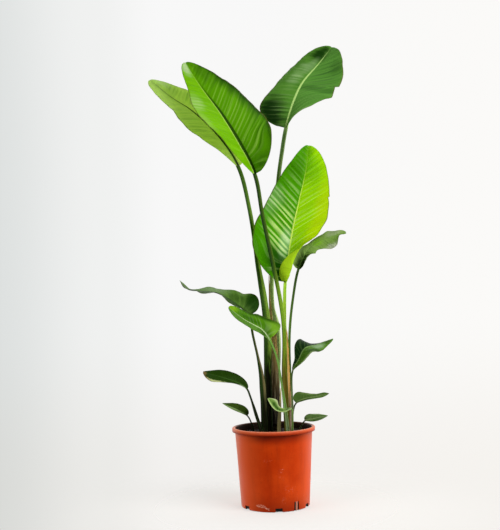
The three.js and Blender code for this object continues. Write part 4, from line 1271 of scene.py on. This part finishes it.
def crumbs_mesh(name, count, sizes, flat, seed):
    """Crushed balls of 20 faces, scattered evenly over the soil and half sunk in it."""
    chance = np.random.default_rng(seed)
    gold = (1 + 5**0.5) / 2
    ball = np.array([(-1, gold, 0), (1, gold, 0), (-1, -gold, 0), (1, -gold, 0), (0, -1, gold),
                     (0, 1, gold), (0, -1, -gold), (0, 1, -gold), (gold, 0, -1), (gold, 0, 1),
                     (-gold, 0, -1), (-gold, 0, 1)]) / math.hypot(1, gold)
    faces = np.array([(0, 11, 5), (0, 5, 1), (0, 1, 7), (0, 7, 10), (0, 10, 11), (1, 5, 9), (5, 11, 4),
                      (11, 10, 2), (10, 7, 6), (7, 1, 8), (3, 9, 4), (3, 4, 2), (3, 2, 6), (3, 6, 8),
                      (3, 8, 9), (4, 9, 5), (2, 4, 11), (6, 2, 10), (8, 6, 7), (9, 8, 1)])
    reach = (soil_edge(SOIL_TOP) - 3) * np.sqrt(chance.uniform(0, 1, count))
    x, y = turned(reach, 0, chance.uniform(0, 2 * np.pi, count))
    size = chance.uniform(*sizes, count) * chance.uniform(0.6, 1.0, count)
    shape = ball[None] * (1 + chance.uniform(-0.3, 0.3, (count, 12, 1)))
    stretch = np.stack([chance.uniform(0.6, 1.0 + flat, count), chance.uniform(0.5, 0.9, count),
                        chance.uniform(0.4, 0.8, count)], -1)
    shape = shape * (size[:, None] * stretch)[:, None]
    wide, deep = turned(shape[..., 0], shape[..., 1], chance.uniform(0, 2 * np.pi, count)[:, None])
    points = np.stack([wide + x[:, None], deep + y[:, None],
                       shape[..., 2] + (soil_height(x, y) + 0.2 * size)[:, None]], -1)
    numbers = faces[None] + 12 * np.arange(count)[:, None, None]
    return mesh_from(name, points.reshape(-1, 3), [numbers.reshape(-1, 3)], smooth=False)


def soil_material(name, dark, light, scale, rough=0.85):
    """Two tones in clods, with grains; damp places are a little glossier."""
    recipe = Recipe(bpy.data.materials.new(name))
    spot = recipe.place()
    clods = recipe.noise(spot, scale, 5.0, 0.7)
    grain = recipe.noise(spot, scale * 9, 2.0, 0.6)
    colour = recipe.coats(recipe.mix(clods.step(0.35, 0.7), dark, light),
                          (grain.step(0.3, 0.6, 0.5, 0.0), scaled(dark, 0.5)))
    damp = clods.step(0.35, 0.6, rough - 0.25, rough)
    normal = recipe.bump(clods + grain, 0.0012, 0.8)
    return recipe.finish(recipe.skin(colour, damp, normal, SOIL_SHINE))


peat = soil_material("peat", (16, 11, 8), (42, 30, 22), 90)
soil = place_piece("soil_top", soil_mesh(), peat, "soil")
peat = soil_material("peat crumbs", (20, 14, 10), (62, 44, 30), 150)
crumbs = crumbs_mesh("crumbs", 900, (1.2, 3.6), 0.9, 5)
crumbs = place_piece("soil_crumbs", crumbs, peat, "soil")
white = soil_material("perlite", (150, 142, 130), (222, 216, 206), 240, 0.9)
grit = crumbs_mesh("perlite", 60, (0.7, 1.7), 0.2, 8)
grit = place_piece("soil_perlite", grit, white, "soil")
print("soil:", len(soil.data.polygons), "faces, crumbs:", len(crumbs.data.polygons),
      "faces, perlite:", len(grit.data.polygons))

# %% [markdown]
# ## The rolled spear and the dry shoot
# The youngest leaf is still rolled up tightly, so its section is a spiral: the radius grows by a sixth
# once round and drops back at the seam, and the seam climbs slowly round the spear. The dry shoot is a
# withered stub that has arched over, with wrinkles along it.

# %% Spear and shoot
SPEAR = {"path": [(13, -50, 206), (18, -51, 277), (23, -52, 339)], "girth": (6, 0.8)}
SPEAR_TONES = [(112, 104, 66), (150, 158, 106), (186, 172, 116)]
DRY_SHOOT = {"path": [(15, -30, 206), (17, -30, 226), (24, -31, 236), (28, -32, 224)],
             "girth": (2, 1.4)}
DRY_TONES = [(26, 22, 14), (34, 28, 18), (40, 32, 20)]
ROLL_FLAT = 0.7
ROLL_LOW = 0.15
NO_EDGES = 3


def rolled_mesh(name, piece, rings, sides, roll, wrinkles):
    """A tapered tube; roll is the spiral's step and wrinkles the depth of its folds, in radii."""
    path = piece["path"]
    line = growth_line(path[:1], path[1:], [(0, -1, 0)] * 4)
    share = np.linspace(0, 1, rings)[:, None]
    angle = angles(sides)
    radius = between(piece["girth"], np.clip(share * 1.5 - 0.5, 0, 1) ** 2)
    spiral = 1 - roll * ((angle / (2 * np.pi) + 0.8 * share + 0.2) % 1)
    folds = wrinkles * wander(angle / (2 * np.pi) * 3 + 2 * share, 12, 5) * np.sin(angle / 2) ** 2
    radius = radius * (spiral + folds)
    length = line.total * share
    way = (length - ROOTED) / (line.total - ROOTED)
    high = radius * (flattened(angle, ROLL_FLAT) - ROLL_LOW)
    return tube_mesh(name, line, length, angle, radius, high, way, NO_EDGES)


skin = stalk_material("spear", SPEAR_TONES, (190, 170, 110), fibres=(238, 230, 206),
                      ends=(0.3, 1.5))
spear = rolled_mesh("spear", SPEAR, 90, 40, 0.17, 0.0)
spear = place_piece("spear_rolled", spear, skin, "shoot_spear")
skin = stalk_material("withered shoot", DRY_TONES, (70, 54, 34))
shoot = rolled_mesh("withered shoot", DRY_SHOOT, 60, 28, 0.0, 0.12)
shoot = place_piece("shoot_withered", shoot, skin, "dry_shoot")
print("spear:", len(spear.data.polygons), "faces, shoot:", len(shoot.data.polygons), "faces")

# %% [markdown]
# ## Dry sheaths
# The oldest leaves of a clump die and their sheaths stay on as papery strips round a living stalk. A
# strip is a thin sheet bent round the stalk at a small distance. Its edges are ragged and lift off,
# its top is torn at several lengths, and fibres run all the way up.

# %% Dry sheath surface
DRY_SHEATHS = [
    {"name": "dry_sheath_right", "leaf": "leaf_centre", "lengths": (4, 300), "middle": (62, 58),
     "span": (150, 60), "tones": [(148, 112, 96), (186, 142, 60), (232, 212, 176)]},
    {"name": "dry_sheath_left", "leaf": "leaf_top_right", "lengths": (20, 470), "middle": (95, 165),
     "span": (165, 45), "tones": [(28, 22, 14), (170, 136, 74), (232, 216, 180)]},
]
SHEATH_CLEAR = 0.35
SHEATH_THICK = 0.6
TORN = 0.16
RAGGED = 0.12
CREASE = 0.35
SIDE_LIFT = 1.6
TOP_LIFT = 2.0
PAPER_ROUGH = 0.7
PAPER_SHINE = 0.25


def dry_sheath_mesh(name, sheath, seed, rows=150, columns=36):
    """A strip at angle = middle + half span times w, as w runs from -1 to 1 across it.

    Its top is torn off by up to a share of its length, its sides are ragged by a share of its width,
    and it stands off the stalk by its creases and where its sides and its top lift.
    """
    leaf = next(leaf for leaf in LEAVES if leaf["name"] == sheath["leaf"])
    share, w = np.meshgrid(np.linspace(0, 1, rows), np.linspace(-1, 1, columns), indexing="ij")
    start, end = sheath["lengths"]
    torn = end - TORN * (end - start) * np.abs(wander(w * 0.8, seed)) * (0.4 + 0.6 * w**2)
    length = ROOTED + between((start, torn), share)
    middle = between(sheath["middle"], share)
    span = between(sheath["span"], share**1.5)
    ragged = 1 + RAGGED * np.where(w < 0, wander(share * 3, seed + 1), wander(share * 3, seed + 2))
    angle = np.radians(middle + span / 2 * w * ragged)
    girth = girth_at(leaf, length)
    creases = CREASE * wander(angle * 1.3 + share * 0.5, seed + 3, 7, 0.8) ** 2
    lift = SIDE_LIFT * np.abs(w) ** 5 * (0.5 + 0.5 * wander(share * 5, seed + 4) ** 2)
    lift = lift + TOP_LIFT * share**6
    radius = girth + SHEATH_CLEAR + SHEATH_THICK / 2 + creases + lift
    place, right, up = leaf["line"].at(length)
    grid = (place + (radius * np.cos(angle))[..., None] * right
            + (radius * np.sin(angle) - STALK_LOW * girth)[..., None] * up)
    points, faces = sheet_solid(grid, normals(grid), SHEATH_THICK * (1 - 0.6 * np.abs(w) ** 3))
    grain = np.tile(point_values(np.cos(angle), np.sin(angle), length * MM), (2, 1))
    kind = np.tile(point_values(share, 0, 0), (2, 1))
    return mesh_from(name, points, faces, grain=grain, kind=kind)


def dry_material(name, low, high, pale):
    """Brown paper: darker at the foot, with pale and dark fibres and a few mould specks."""
    recipe = Recipe(bpy.data.materials.new(name))
    across, up, length = recipe.attribute("grain")
    share = recipe.attribute("kind")[0]
    fibre = recipe.noise(recipe.join(across, up, length * 1.2), 9.0, 5.0, 0.7)
    patch = recipe.noise(recipe.join(across, up, length * 9.0), 1.6, 4.0, 0.65)
    colour = recipe.coats(recipe.mix(share.step(0.1, 0.55), low, high),
                          (fibre.step(0.5, 0.7, 0.0, 0.8), pale),
                          (fibre.step(0.3, 0.48, 0.75, 0.0), scaled(low, 0.35)),
                          (patch.step(0.5, 0.7, 0.0, 0.5), scaled(low, 0.6)))
    normal = recipe.bump(fibre, 0.0006, 0.8)
    return recipe.finish(recipe.skin(colour, PAPER_ROUGH, normal, PAPER_SHINE))


for number, sheath in enumerate(DRY_SHEATHS):
    side = sheath["name"].split("_")[-1]
    paper = dry_material(f"dry sheath {side}", *sheath["tones"])
    strip = dry_sheath_mesh(f"papery {side}", sheath, 40 + number)
    made = place_piece(f"papery_sheath_{side}", strip, paper, sheath["name"])
    print(sheath["name"], len(made.data.polygons), "faces")
